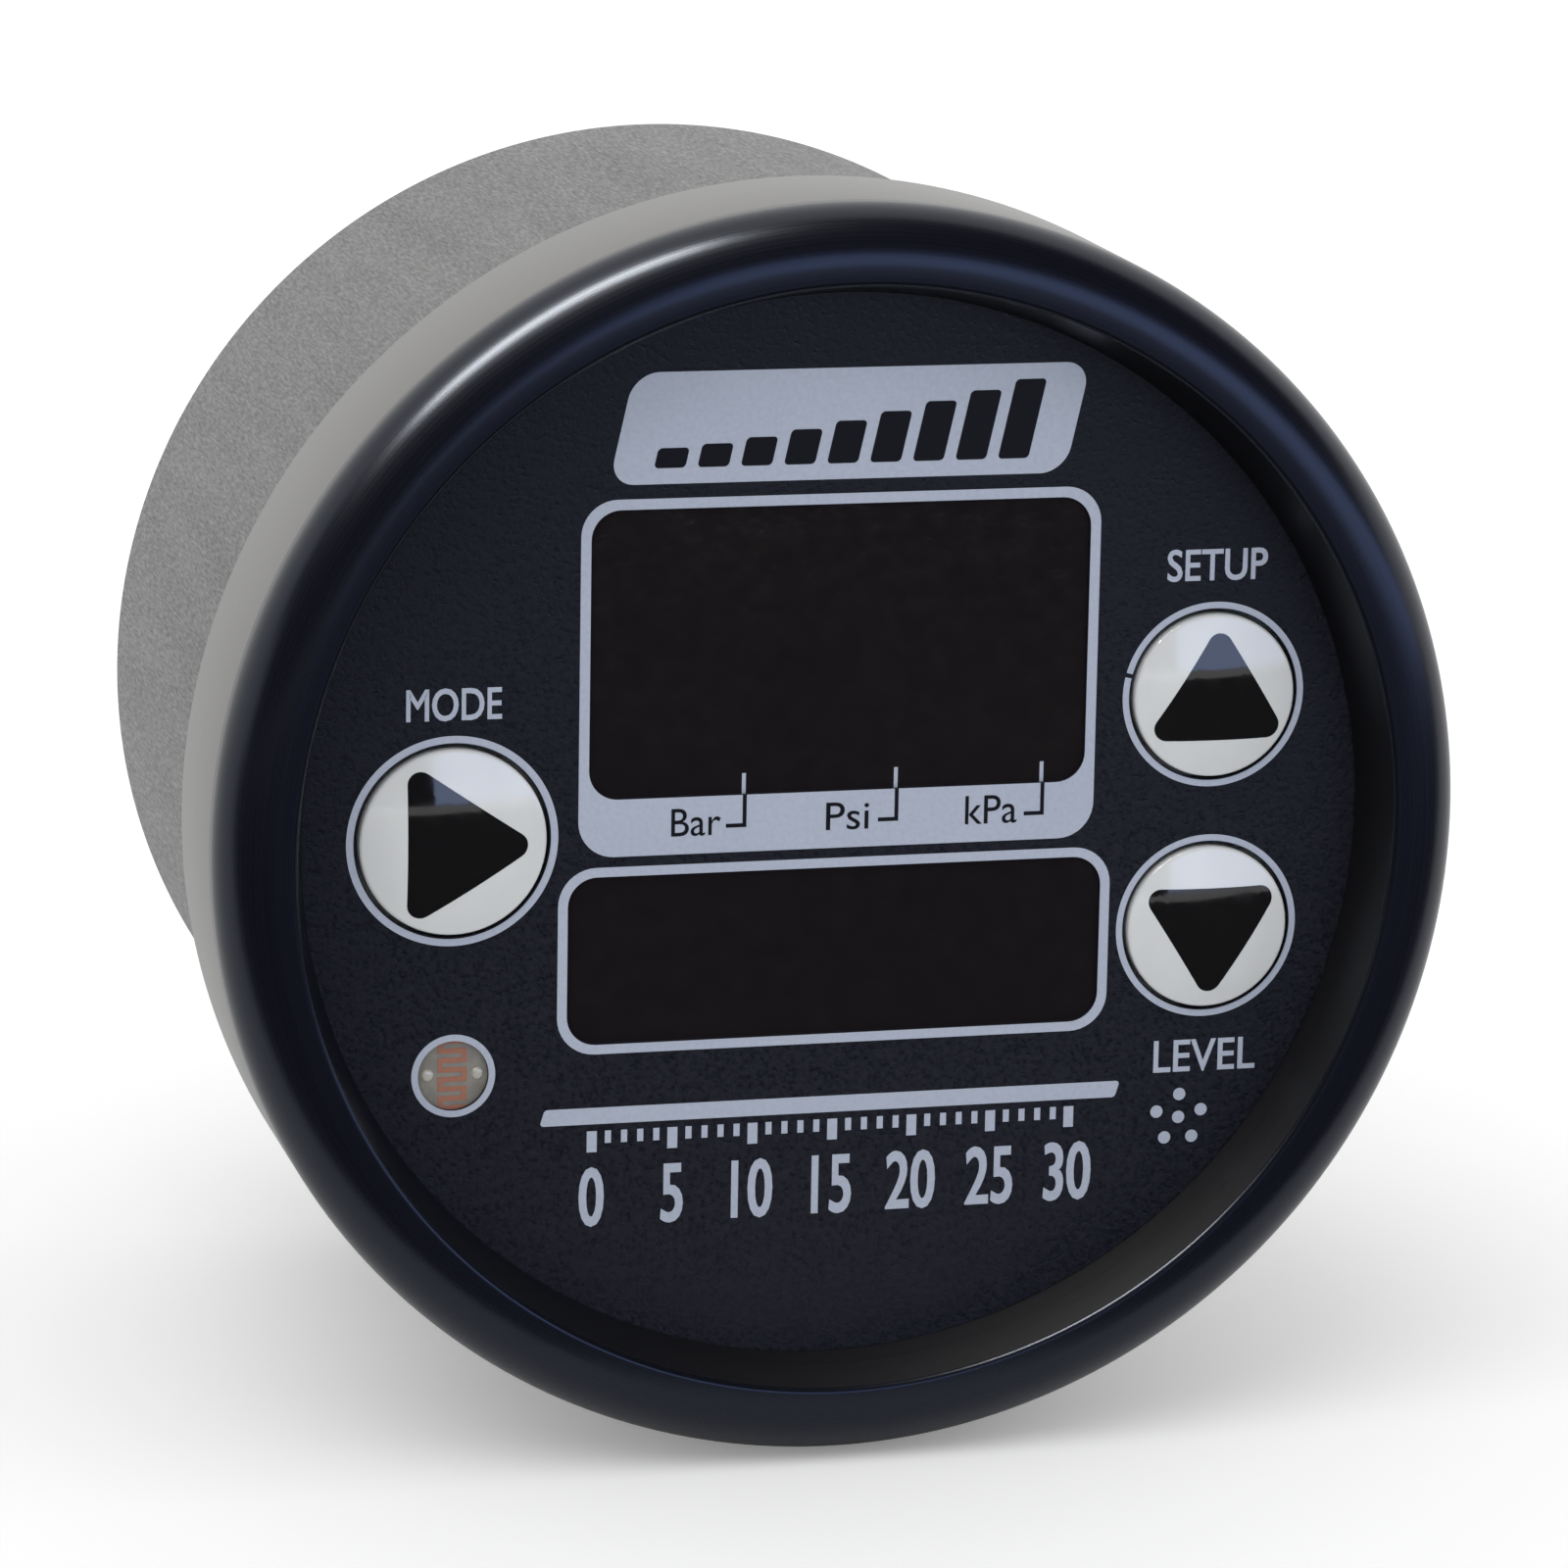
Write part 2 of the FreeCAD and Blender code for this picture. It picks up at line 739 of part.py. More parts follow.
def make_front_pillar(number, across, up):
    post = hexagon(f"front_post_{number}", size.pillar_across_flats, front_board_back,
                   rear_board_front - front_board_back, across, up)
    bore = rod(f"front_post_bore_{number}", thread_bore, front_board_back, size.pillar_bore_depth,
               across, up)
    root = rear_board_front - size.lead_overhang
    stud = rod(f"front_post_stud_{number}", thread_radius, root,
               rear_board_back + size.pillar_stud_length - root, across, up)
    return fuse(f"front_pillar_{number}", cut(f"front_post_bored_{number}", post, bore), stud)


def make_rear_pillar(number, across, up):
    post = hexagon(f"rear_post_{number}", size.pillar_across_flats, rear_board_back,
                   size.rear_pillar_length, across, up)
    bore = rod(f"rear_post_bore_{number}", thread_bore, rear_board_back, size.rear_pillar_length,
               across, up)
    return cut(f"rear_pillar_{number}", post, bore)


def make_cover_screw(number, across, up):
    sink_front = cover_back - size.cover_screw_sink
    head = taper(f"cover_screw_head_{number}", thread_radius, size.screw_head_diameter / 2,
                 sink_front, size.cover_screw_sink, across, up)
    shank_front = rear_board_back + size.pillar_stud_length + size.screw_end_gap
    shank = rod(f"cover_screw_shank_{number}", thread_radius, shank_front, sink_front - shank_front,
                across, up)
    whole = fuse(f"cover_screw_blank_{number}", head, shank)
    socket = screw_socket(f"cover_screw_hex_{number}", cover_back - size.screw_socket_depth, across, up)
    return cut(f"cover_screw_{number}", whole, socket)


def make_set(name, maker):
    """The same fastener at each pillar, as one node."""
    return group(name, *[maker(number, across, up) for number, (across, up) in enumerate(pillar_places)])


# Rear board and what it carries

connector_places = [
    (across, size.connector_up + size.connector_pitch_up / 2 * side)
    for side in (-1, 1)
    for across in row(CONNECTOR_COLUMNS, size.connector_pitch_across)
]
connector_mouth = cover_back + size.connector_proud
connector_floor = connector_mouth - size.connector_depth
connector_pin_radius = size.connector_pin_diameter / 2
nut_front = cover_front - size.barb_nut_height


def make_rear_board():
    disc = rod("rear_board_disc", tube_rear_bore - size.board_edge_gap, rear_board_front,
               size.board_thickness)
    cutters = rods_at("rear_pillar_hole", board_hole, rear_board_front, size.board_thickness, pillar_places)
    cutters.extend(rods_at("connector_pin_hole", connector_pin_radius + size.lead_clearance,
                           rear_board_front, size.board_thickness, connector_places))
    return cut("rear_board", disc, *cutters)


def make_connector_shell():
    case = block("connector_case", size.connector_width, connector_mouth - rear_board_back,
                 size.connector_height, rear_board_back, ZERO, size.connector_up)
    cavity = rounded_block("connector_cavity", size.connector_width - size.connector_wall * 2,
                           size.connector_depth, size.connector_height - size.connector_wall * 2,
                           size.connector_wall / 2, connector_floor, ZERO, size.connector_up)
    holes = rods_at("connector_pin_bore", connector_pin_radius + size.slip_clearance, rear_board_back,
                    connector_floor - rear_board_back, connector_places)
    return cut("connector_shell", case, cavity, *holes)


def make_connector_pins():
    front = rear_board_front - size.lead_overhang
    length = connector_floor + size.connector_pin_free - front
    pins = rods_at("connector_pin", connector_pin_radius, front, length, connector_places)
    return group("connector_pins", *pins)


def make_pressure_sensor():
    case = block("pressure_case", size.pressure_sensor_side, size.pressure_sensor_height,
                 size.pressure_sensor_side, rear_board_back, size.port_across, size.port_up)
    case_back = rear_board_back + size.pressure_sensor_height
    port_length = nut_front - size.barb_spigot_length - size.port_gap - case_back
    port = rod("pressure_port", size.pressure_port_diameter / 2, case_back - size.lead_overhang,
               port_length + size.lead_overhang, size.port_across, size.port_up)
    bore = rod("pressure_bore", size.barb_bore_diameter / 2, case_back,
               port_length, size.port_across, size.port_up)
    return cut("pressure_sensor", fuse("pressure_blank", case, port), bore)


def make_sensor_hose():
    front = rear_board_back + size.pressure_sensor_height + size.hose_end_gap
    inner = size.pressure_port_diameter / 2
    return make_ring("sensor_hose", inner, inner + size.hose_wall, front, nut_front - size.hose_end_gap,
                     size.port_across, size.port_up)


def make_hose_barb():
    bore = size.barb_bore_diameter / 2
    spigot = size.pressure_port_diameter / 2
    shank = size.barb_shank_diameter / 2
    neck = size.barb_neck_diameter / 2
    hex_back = cover_back + size.barb_hex_height
    shank_back = hex_back - size.barb_hex_height / 2
    corners = [
        (bore, nut_front - size.barb_spigot_length),
        (spigot, nut_front - size.barb_spigot_length),
        (spigot, nut_front),
        (shank, nut_front),
        (shank, shank_back),
        (neck, shank_back),
    ]
    for number in range(BARB_CRESTS):
        crest_front = hex_back + size.barb_pitch * (number + BARB_NECK_SHARE)
        corners.append((neck, crest_front))
        corners.append((size.barb_crest_diameter / 2, crest_front))
        corners.append((neck, hex_back + size.barb_pitch * (number + 1)))
    corners.append((bore, hex_back + size.barb_pitch * BARB_CRESTS))
    stem = turned("barb_stem", corners, across=size.port_across, up=size.port_up)
    collar = hexagon("barb_collar", size.barb_hex, cover_back, size.barb_hex_height,
                     size.port_across, size.port_up)
    hole = rod("barb_collar_hole", bore, cover_back, size.barb_hex_height, size.port_across, size.port_up)
    return fuse("hose_barb", stem, cut("barb_collar_bored", collar, hole))


def make_nut(name, across_flats, front, height, hole_radius, across, up):
    nut = hexagon(f"{name}_blank", across_flats, front, height, across, up)
    hole = rod(f"{name}_hole", hole_radius, front, height, across, up)
    return cut(name, nut, hole)


def make_filter_capacitor():
    return rod("filter_capacitor", size.capacitor_diameter / 2, rear_board_front - size.capacitor_length,
               size.capacitor_length, size.capacitor_across, size.capacitor_up)


def make_flat_device(name, width, depth, height, across, up):
    """A surface-mounted power device: its moulded case and its soldered metal tab."""
    case = block(f"{name}_case", width, height, depth, rear_board_front - height, across, up)
    tab = block(f"{name}_tab", width - size.tab_thickness * 2, size.tab_thickness,
                depth + size.tab_reach * 2, rear_board_front - size.tab_thickness, across, up)
    return fuse(name, case, tab)


# Rear cover, and the studs that a clamp bracket is nutted to

stud_places = [(size.stud_spread / 2 * side, ZERO) for side in (-1, 1)]
shank_radius = size.stud_shank_diameter / 2


def make_rear_cover():
    disc = rod("cover_disc", cover_radius, cover_front, size.cover_thickness)
    cutters = rods_at("cover_screw_hole", thread_bore, cover_front, size.cover_thickness, pillar_places)
    for number, (across, up) in enumerate(pillar_places):
        cutters.append(taper(f"cover_sink_{number}", thread_bore,
                             size.screw_head_diameter / 2 + size.slip_clearance,
                             cover_back - size.cover_screw_sink, size.cover_screw_sink, across, up))
    cutters.extend(rods_at("cover_stud_hole", shank_radius + size.slip_clearance, cover_front,
                           size.cover_thickness, stud_places))
    cutters.append(rod("cover_port_hole", size.barb_shank_diameter / 2 + size.slip_clearance, cover_front,
                       size.cover_thickness, size.port_across, size.port_up))
    cutters.append(block("cover_slot", size.connector_width + size.slip_clearance * 2,
                         size.cover_thickness, size.connector_height + size.slip_clearance * 2,
                         cover_front, ZERO, size.connector_up))
    return cut("rear_cover", disc, *cutters)


def make_studs():
    studs = []
    for number, (across, up) in enumerate(stud_places):
        head = rod(f"stud_head_{number}", size.stud_head_diameter / 2, cover_front - size.stud_head_height,
                   size.stud_head_height, across, up)
        shank = rod(f"stud_shank_{number}", shank_radius, cover_front,
                    size.cover_thickness + size.stud_nut_height, across, up)
        end = rod(f"stud_end_{number}", size.stud_diameter / 2, cover_back, size.stud_proud, across, up)
        studs.append(fuse(f"stud_{number}", head, shank, end))
    return group("mounting_studs", *studs)


def make_stud_nuts():
    return group("stud_nuts", *[
        make_nut(f"stud_nut_{number}", size.stud_nut_hex, cover_back, size.stud_nut_height,
                 shank_radius + size.slip_clearance, across, up)
        for number, (across, up) in enumerate(stud_places)
    ])


def build_shells_and_face():
    keep(make_bezel_ring())
    keep(make_flange_ring())
    keep(make_can_tube())
    keep(make_graphic_overlay())
    keep(make_smoked_lens())
    keep(make_ring("lens_gasket", face_radius - size.gasket_width, face_radius, lens_back, tube_front))


def build_keys():
    for key, (across, up, cap_radius) in KEYS.items():
        keep(make_cap(key, across, up, cap_radius))
        keep(make_plunger(key, across, up))
        keep(make_switch(key, across, up))
        keep(make_snap_dome(key, across, up))


def build_boards():
    keep(make_display("upper_display", upper_window_width - size.upper_display_margin * 2,
                      size.upper_display_height,
                      size.upper_window_centre, upper_pins))
    keep(make_display("lower_display", lower_window_width - size.lower_display_margin * 2,
                      size.lower_display_height,
                      size.lower_window_centre, lower_pins))
    keep(make_light_sensor())
    keep(make_front_board())
    keep(make_buzzer())
    keep(make_microcontroller())
    keep(make_pin_header())
    keep(make_header_socket())
    keep(make_rear_board())
    keep(make_connector_shell())
    keep(make_connector_pins())
    keep(make_pressure_sensor())
    keep(make_filter_capacitor())
    keep(make_flat_device("driver_transistor", size.transistor_width, size.transistor_depth,
                          size.transistor_height, size.transistor_across, size.transistor_up))
    keep(make_flat_device("voltage_regulator", size.regulator_width, size.regulator_depth,
                          size.regulator_height, size.regulator_across, size.regulator_up))


def build_rear():
    keep(make_set("front_screws", make_front_screw))
    keep(make_set("front_pillars", make_front_pillar))
    keep(make_set("rear_pillars", make_rear_pillar))
    keep(make_set("cover_screws", make_cover_screw))
    keep(make_rear_cover())
    keep(make_ring("cover_gasket", tube_rear_bore + size.slip_clearance * 2, cover_radius,
                   cover_shoulder, cover_front))
    keep(make_sensor_hose())
    keep(make_hose_barb())
    keep(make_nut("barb_nut", size.barb_hex, nut_front, size.barb_nut_height,
                  size.barb_shank_diameter / 2 + size.slip_clearance, size.port_across, size.port_up))
    keep(make_studs())
    keep(make_stud_nuts())


def check_document():
    """Stop on any object that failed to rebuild, and on any empty or broken sub-part."""
    for item in DOCUMENT.Objects:
        if {"Invalid", "Error"} & set(item.State):
            raise RuntimeError(f"{item.Name} did not rebuild")
    for node in NODES:
        if node.Shape.isNull() or not node.Shape.isValid() or not node.Shape.Solids:
            raise RuntimeError(f"{node.Name} has no valid solid")


def write_parts():
    """Write each sub-part to its own file."""
    os.makedirs("parts", exist_ok=True)
    for node in NODES:
        node.Label = node.Name
        node.Shape.exportStep(f"parts/{node.Label}.step")


build_shells_and_face()
build_keys()
build_boards()
build_rear()
DOCUMENT.recompute()
check_document()
write_parts()
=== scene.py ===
"""The looks of an electronic boost controller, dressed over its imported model."""

import json
import logging
import math
from collections.abc import Callable, Iterable, Sequence
from dataclasses import dataclass, field
from enum import Enum

import bmesh
import bpy
from mathutils import Matrix, Vector

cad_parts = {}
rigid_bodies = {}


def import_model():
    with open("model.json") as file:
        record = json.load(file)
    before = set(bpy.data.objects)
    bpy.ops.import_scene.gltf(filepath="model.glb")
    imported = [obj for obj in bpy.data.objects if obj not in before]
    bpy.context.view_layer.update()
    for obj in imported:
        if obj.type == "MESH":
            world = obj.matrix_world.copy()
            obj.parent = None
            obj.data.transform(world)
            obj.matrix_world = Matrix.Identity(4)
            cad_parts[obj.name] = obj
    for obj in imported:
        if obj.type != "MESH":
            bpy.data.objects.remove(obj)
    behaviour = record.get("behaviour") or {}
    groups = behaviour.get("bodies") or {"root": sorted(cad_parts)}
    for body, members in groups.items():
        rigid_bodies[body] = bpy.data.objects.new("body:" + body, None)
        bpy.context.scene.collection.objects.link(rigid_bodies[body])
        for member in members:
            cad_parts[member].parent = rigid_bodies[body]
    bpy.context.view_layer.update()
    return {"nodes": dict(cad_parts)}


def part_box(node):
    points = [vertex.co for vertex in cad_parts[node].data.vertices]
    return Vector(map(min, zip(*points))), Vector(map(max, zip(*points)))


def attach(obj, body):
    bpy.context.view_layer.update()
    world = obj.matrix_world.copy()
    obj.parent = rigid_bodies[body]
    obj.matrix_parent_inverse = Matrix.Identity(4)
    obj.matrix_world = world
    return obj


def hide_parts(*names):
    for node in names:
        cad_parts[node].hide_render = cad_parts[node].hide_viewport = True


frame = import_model()

LOG = logging.getLogger("boost_controller")
MM = 0.001
TURN_STEPS = 256
SMALL_TURN_STEPS = 64
SHARP_ANGLE = math.radians(32)
WELD = 0.0002 * MM
FACET_WELD = 5 * WELD
PRINT_WELD = 0.0005
FLAT_ANGLE = math.radians(0.5)
AXIAL_STRETCH = 0.12
PATCH_DETAIL = 2.0
LEAST_ROUGHNESS = 0.02
FLECK_SCALE = 2.3
FLECK_RANGE = (0.66, 0.74)
FLECK_GAIN = 3.0
SUBSURFACE_DEPTH = 0.4 * MM
CROWN_CUTS = 3
DRAFT_STEPS = 32
FACE_UP = Matrix.Rotation(math.radians(90), 4, "X")
HOUSING = "housing"

Point = tuple[float, float]
Plate = tuple[float, float, float, Point]
Colour = tuple[float, float, float]


class Grain(Enum):
    """How a finish's pattern lies on its surface."""

    PLAIN = "even in every direction"
    AXIAL = "short strokes along the gauge's axis"
    TURNED = "fine rings round the gauge's axis"


@dataclass(frozen=True)
class Finish:
    """One surface finish: its colour, gloss and grain.

    Scales are in patterns per millimetre, and depth is in millimetres.
    """

    name: str
    slot: str
    colour: Colour
    shade: Colour
    roughness: float
    metallic: float = 0.0
    specular: float = 0.5
    coat: float = 0.0
    coat_roughness: float = 0.05
    grain: Grain = Grain.PLAIN
    scale: float = 4.0
    detail: float = 3.0
    patch_scale: float = 0.12
    patch_share: float = 0.35
    gloss_spread: float = 0.06
    depth: float = 0.0
    speckle: float = 0.0
    subsurface: float = 0.0
    tint: Colour = (1.0, 1.0, 1.0)

    def material(self) -> bpy.types.Material:
        """Return this finish as a material, made on first use."""
        return bpy.data.materials.get(self.name) or FinishGraph(self).build()


class FinishGraph:
    """The node graph that turns a finish into a material."""

    def __init__(self, finish: Finish) -> None:
        """Start an empty graph.

        Args:
            finish: The finish to build.
        """
        self.finish = finish
        self.result = bpy.data.materials.new(finish.name)
        self.result.use_nodes = True
        self.tree = self.result.node_tree
        self.tree.nodes.clear()

    def node(self, kind: str, **settings: object) -> bpy.types.Node:
        """Add a node of this kind with these settings."""
        made = self.tree.nodes.new(kind)
        for name, value in settings.items():
            setattr(made, name, value)
        return made

    def join(self, source: bpy.types.NodeSocket, target: bpy.types.NodeSocket) -> None:
        """Link an output to an input."""
        self.tree.links.new(source, target)

    def math(self, operation: str, *values: bpy.types.NodeSocket | float) -> bpy.types.NodeSocket:
        """Add one arithmetic step.

        Args:
            operation: The Math node's operation.
            values: Its inputs, as sockets or plain numbers.

        Returns:
            The step's output.
        """
        step = self.node("ShaderNodeMath", operation=operation)
        for socket, value in zip(step.inputs, values):
            if isinstance(value, bpy.types.NodeSocket):
                self.join(value, socket)
            else:
                socket.default_value = value
        return step.outputs[0]

    def place(self) -> bpy.types.NodeSocket:
        """Return the surface position in millimetres, laid out to suit the grain."""
        source = self.node("ShaderNodeTexCoord").outputs["Object"]
        mapping = self.node("ShaderNodeMapping")
        stretch = AXIAL_STRETCH if self.finish.grain is Grain.AXIAL else 1.0
        mapping.inputs["Scale"].default_value = (1 / MM, stretch / MM, 1 / MM)
        self.join(source, mapping.inputs["Vector"])
        if self.finish.grain is not Grain.TURNED:
            return mapping.outputs["Vector"]
        parts = self.node("ShaderNodeSeparateXYZ")
        self.join(mapping.outputs["Vector"], parts.inputs[0])
        across = self.math("MULTIPLY", parts.outputs["X"], parts.outputs["X"])
        rise = self.math("MULTIPLY", parts.outputs["Z"], parts.outputs["Z"])
        radius = self.math("SQRT", self.math("ADD", across, rise))
        rings = self.node("ShaderNodeCombineXYZ")
        self.join(radius, rings.inputs["X"])
        self.join(parts.outputs["Y"], rings.inputs["Y"])
        return rings.outputs[0]

    def noise(self, place: bpy.types.NodeSocket, scale: float, detail: float) -> bpy.types.NodeSocket:
        """Return a noise pattern at this scale."""
        pattern = self.node("ShaderNodeTexNoise")
        pattern.inputs["Scale"].default_value = scale
        pattern.inputs["Detail"].default_value = detail
        self.join(place, pattern.inputs["Vector"])
        return pattern.outputs["Fac"]

    def spread(self, value: bpy.types.NodeSocket, low: float, high: float,
               start: float = 0.3, end: float = 0.7) -> bpy.types.NodeSocket:
        """Map the usual range of a pattern to a range of values."""
        step = self.node("ShaderNodeMapRange")
        for name, number in (("From Min", start), ("From Max", end), ("To Min", low), ("To Max", high)):
            step.inputs[name].default_value = number
        self.join(value, step.inputs["Value"])
        return step.outputs[0]

    def mix(self, factor: bpy.types.NodeSocket, first: Colour | bpy.types.NodeSocket,
            second: Colour | bpy.types.NodeSocket) -> bpy.types.NodeSocket:
        """Blend two colours by a factor."""
        step = self.node("ShaderNodeMix", data_type="RGBA")
        self.join(factor, step.inputs["Factor"])
        for socket, value in ((step.inputs[6], first), (step.inputs[7], second)):
            if isinstance(value, bpy.types.NodeSocket):
                self.join(value, socket)
            else:
                socket.default_value = (*value, 1.0)
        return step.outputs[2]

    def build(self) -> bpy.types.Material:
        """Return the finished material."""
        finish = self.finish
        shader = self.node("ShaderNodeBsdfPrincipled")
        constants = {
            "Metallic": finish.metallic, "Specular IOR Level": finish.specular,
            "Coat Weight": finish.coat, "Coat Roughness": finish.coat_roughness,
            "Subsurface Weight": finish.subsurface,
        }
        for name, value in constants.items():
            shader.inputs[name].default_value = value
        shader.inputs["Specular Tint"].default_value = (*finish.tint, 1.0)
        if finish.subsurface:
            shader.inputs["Subsurface Scale"].default_value = SUBSURFACE_DEPTH
        place = self.place()
        fine = self.noise(place, finish.scale, finish.detail)
        patches = self.noise(place, finish.patch_scale, PATCH_DETAIL)
        blend = self.math("ADD", self.math("MULTIPLY", fine, 1.0 - finish.patch_share),
                          self.math("MULTIPLY", patches, finish.patch_share))
        colour = self.mix(self.spread(blend, 0.0, 1.0), finish.colour, finish.shade)
        if finish.speckle:
            specks = self.noise(place, finish.scale * FLECK_SCALE, 0.0)
            flecks = self.spread(specks, 0.0, finish.speckle, *FLECK_RANGE)
            colour = self.mix(flecks, colour, tuple(min(1.0, part * FLECK_GAIN) for part in finish.colour))
        self.join(colour, shader.inputs["Base Color"])
        low = max(LEAST_ROUGHNESS, finish.roughness - finish.gloss_spread)
        high = finish.roughness + finish.gloss_spread
        self.join(self.spread(fine, low, high), shader.inputs["Roughness"])
        if finish.depth:
            bump = self.node("ShaderNodeBump")
            bump.inputs["Strength"].default_value = 1.0
            bump.inputs["Distance"].default_value = finish.depth * MM
            self.join(fine, bump.inputs["Height"])
            self.join(bump.outputs["Normal"], shader.inputs["Normal"])
        output = self.node("ShaderNodeOutputMaterial")
        self.join(shader.outputs[0], output.inputs["Surface"])
        return self.result


BLACK_ANODISED = Finish(
    "black_anodised_satin", "black_anodised", (0.0035, 0.0034, 0.0065), (0.005, 0.0049, 0.009), 0.26,
    specular=0.42, grain=Grain.TURNED, scale=14.0, gloss_spread=0.03, depth=0.0004, tint=(0.7, 0.8, 1.0),
)
ANODISED_WALL = Finish(
    "black_anodised_wall", "black_anodised", (0.0035, 0.0034, 0.0055), (0.005, 0.0049, 0.0075), 0.44,
    specular=0.42, grain=Grain.TURNED, scale=14.0, gloss_spread=0.04, depth=0.0008, tint=(0.85, 0.9, 1.0),
)
TURNED_ALUMINIUM = Finish(
    "turned_aluminium_smooth", "turned_aluminium", (0.195, 0.192, 0.186), (0.165, 0.162, 0.157), 0.34,
    metallic=0.7, grain=Grain.TURNED, scale=11.0, depth=0.0006,
)
TUMBLED_ALUMINIUM = Finish(
    "tumbled_aluminium_grain", "blasted_aluminium", (0.212, 0.211, 0.216), (0.094, 0.094, 0.098), 0.5,
    metallic=0.5, grain=Grain.AXIAL, scale=9.0, detail=6.0, patch_scale=0.5, patch_share=0.3,
    gloss_spread=0.12, depth=0.006,
)
OVERLAY_FILM = Finish(
    "face_film_navy", "overlay_film", (0.0035, 0.0038, 0.0075), (0.0105, 0.011, 0.0185), 0.5,
    specular=0.28, scale=4.2, detail=2.0, patch_share=0.1, gloss_spread=0.18, depth=0.04, speckle=0.8,
)
SMOKED_WINDOW = Finish(
    "smoked_window_gloss", "smoked_acrylic", (0.0085, 0.0068, 0.0078), (0.0115, 0.0092, 0.0105), 0.12,
    scale=0.9, detail=4.0, gloss_spread=0.03, depth=0.03,
)
PALE_INK = Finish(
    "print_ink_pale", "overlay_film", (0.43, 0.475, 0.58), (0.37, 0.415, 0.52), 0.5,
    scale=4.0, detail=2.0, depth=0.002,
)
BLACK_INK = Finish(
    "print_ink_black", "overlay_film", (0.003, 0.003, 0.004), (0.006, 0.006, 0.008), 0.45,
    specular=0.22, scale=4.0, detail=2.0, depth=0.002,
)
KEY_WHITE = Finish(
    "key_cap_white", "key_cap", (0.7, 0.72, 0.735), (0.64, 0.66, 0.68), 0.12,
    coat=0.35, scale=0.35, detail=1.0, gloss_spread=0.02, subsurface=0.15,
)
KEY_ARROW = Finish(
    "key_arrow_black", "key_cap", (0.0055, 0.0052, 0.0055), (0.008, 0.0075, 0.0075), 0.07,
    coat=0.5, coat_roughness=0.03, scale=1.2, detail=2.0, gloss_spread=0.02,
)
GASKET_RUBBER = Finish(
    "gasket_rubber_black", "gasket_rubber", (0.02, 0.02, 0.021), (0.028, 0.028, 0.029), 0.7,
    scale=6.0, depth=0.01,
)
BLACK_PLASTIC = Finish(
    "moulded_plastic_black", "black_plastic", (0.018, 0.018, 0.019), (0.026, 0.026, 0.027), 0.42,
    scale=7.0, depth=0.006,
)
PLUNGER_PLASTIC = Finish(
    "plunger_plastic_red", "plunger_plastic", (0.32, 0.035, 0.03), (0.27, 0.03, 0.026), 0.4,
    scale=5.0, depth=0.003,
)
SPRING_STEEL = Finish(
    "spring_steel_bright", "spring_steel", (0.62, 0.61, 0.59), (0.5, 0.49, 0.47), 0.25,
    metallic=1.0, scale=7.0,
)
SENSOR_CERAMIC = Finish(
    "photocell_ceramic", "sensor_ceramic", (0.3, 0.285, 0.25), (0.2, 0.185, 0.165), 0.35,
    coat=0.7, scale=1.6, detail=3.0, depth=0.004,
)
SENSOR_TRACK = Finish(
    "photocell_track", "sensor_ceramic", (0.4, 0.16, 0.095), (0.33, 0.14, 0.09), 0.4,
    coat=0.7, scale=4.0, detail=3.0, depth=0.004,
)
SENSOR_LEAD = Finish(
    "photocell_lead_dull", "tinned_pin", (0.62, 0.6, 0.54), (0.5, 0.48, 0.42), 0.35,
    metallic=0.25, coat=0.7, scale=3.0,
)
DISPLAY_EPOXY = Finish(
    "display_epoxy_dark", "display_epoxy", (0.03, 0.03, 0.032), (0.038, 0.038, 0.04), 0.35,
    scale=5.0, depth=0.003,
)
SEGMENT_RESIN = Finish(
    "display_segment_milky", "display_epoxy", (0.42, 0.4, 0.4), (0.36, 0.34, 0.34), 0.4,
    scale=4.0, subsurface=0.1,
)
CIRCUIT_BOARD = Finish(
    "circuit_board_green", "circuit_board", (0.012, 0.085, 0.035), (0.009, 0.065, 0.027), 0.3,
    coat=0.4, scale=2.0, depth=0.004,
)
ZINC_SCREW = Finish(
    "zinc_plated_steel", "zinc_screw", (0.5, 0.51, 0.54), (0.38, 0.39, 0.41), 0.3,
    metallic=1.0, scale=5.0, gloss_spread=0.1, depth=0.003,
)
BRASS = Finish(
    "brass_turned", "brass", (0.55, 0.4, 0.17), (0.45, 0.31, 0.12), 0.27,
    metallic=1.0, scale=6.0, gloss_spread=0.08, depth=0.003,
)
CONNECTOR_PLASTIC = Finish(
    "connector_plastic_black", "connector_plastic", (0.022, 0.022, 0.023), (0.031, 0.031, 0.032), 0.48,
    scale=8.0, depth=0.008,
)
TINNED_PIN = Finish(
    "tinned_pin", "tinned_pin", (0.66, 0.65, 0.62), (0.55, 0.54, 0.51), 0.25,
    metallic=1.0, scale=6.0,
)
SILICONE_HOSE = Finish(
    "silicone_hose_blue", "silicone_hose", (0.02, 0.07, 0.24), (0.016, 0.055, 0.2), 0.45,
    scale=5.0, depth=0.006,
)
CHIP_EPOXY = Finish(
    "chip_epoxy_black", "chip_epoxy", (0.014, 0.014, 0.015), (0.02, 0.02, 0.021), 0.55,
    scale=9.0, depth=0.006,
)
CAPACITOR_SLEEVE = Finish(
    "capacitor_sleeve_dark", "capacitor_sleeve", (0.02, 0.025, 0.06), (0.026, 0.032, 0.075), 0.3,
    coat=0.3, scale=3.0,
)


def pour(part: bmesh.types.BMesh, whole: bmesh.types.BMesh) -> None:
    """Add one form to another and free it."""
    spare = bpy.data.meshes.new("spare")
    part.to_mesh(spare)
    part.free()
    whole.from_mesh(spare)
    bpy.data.meshes.remove(spare)


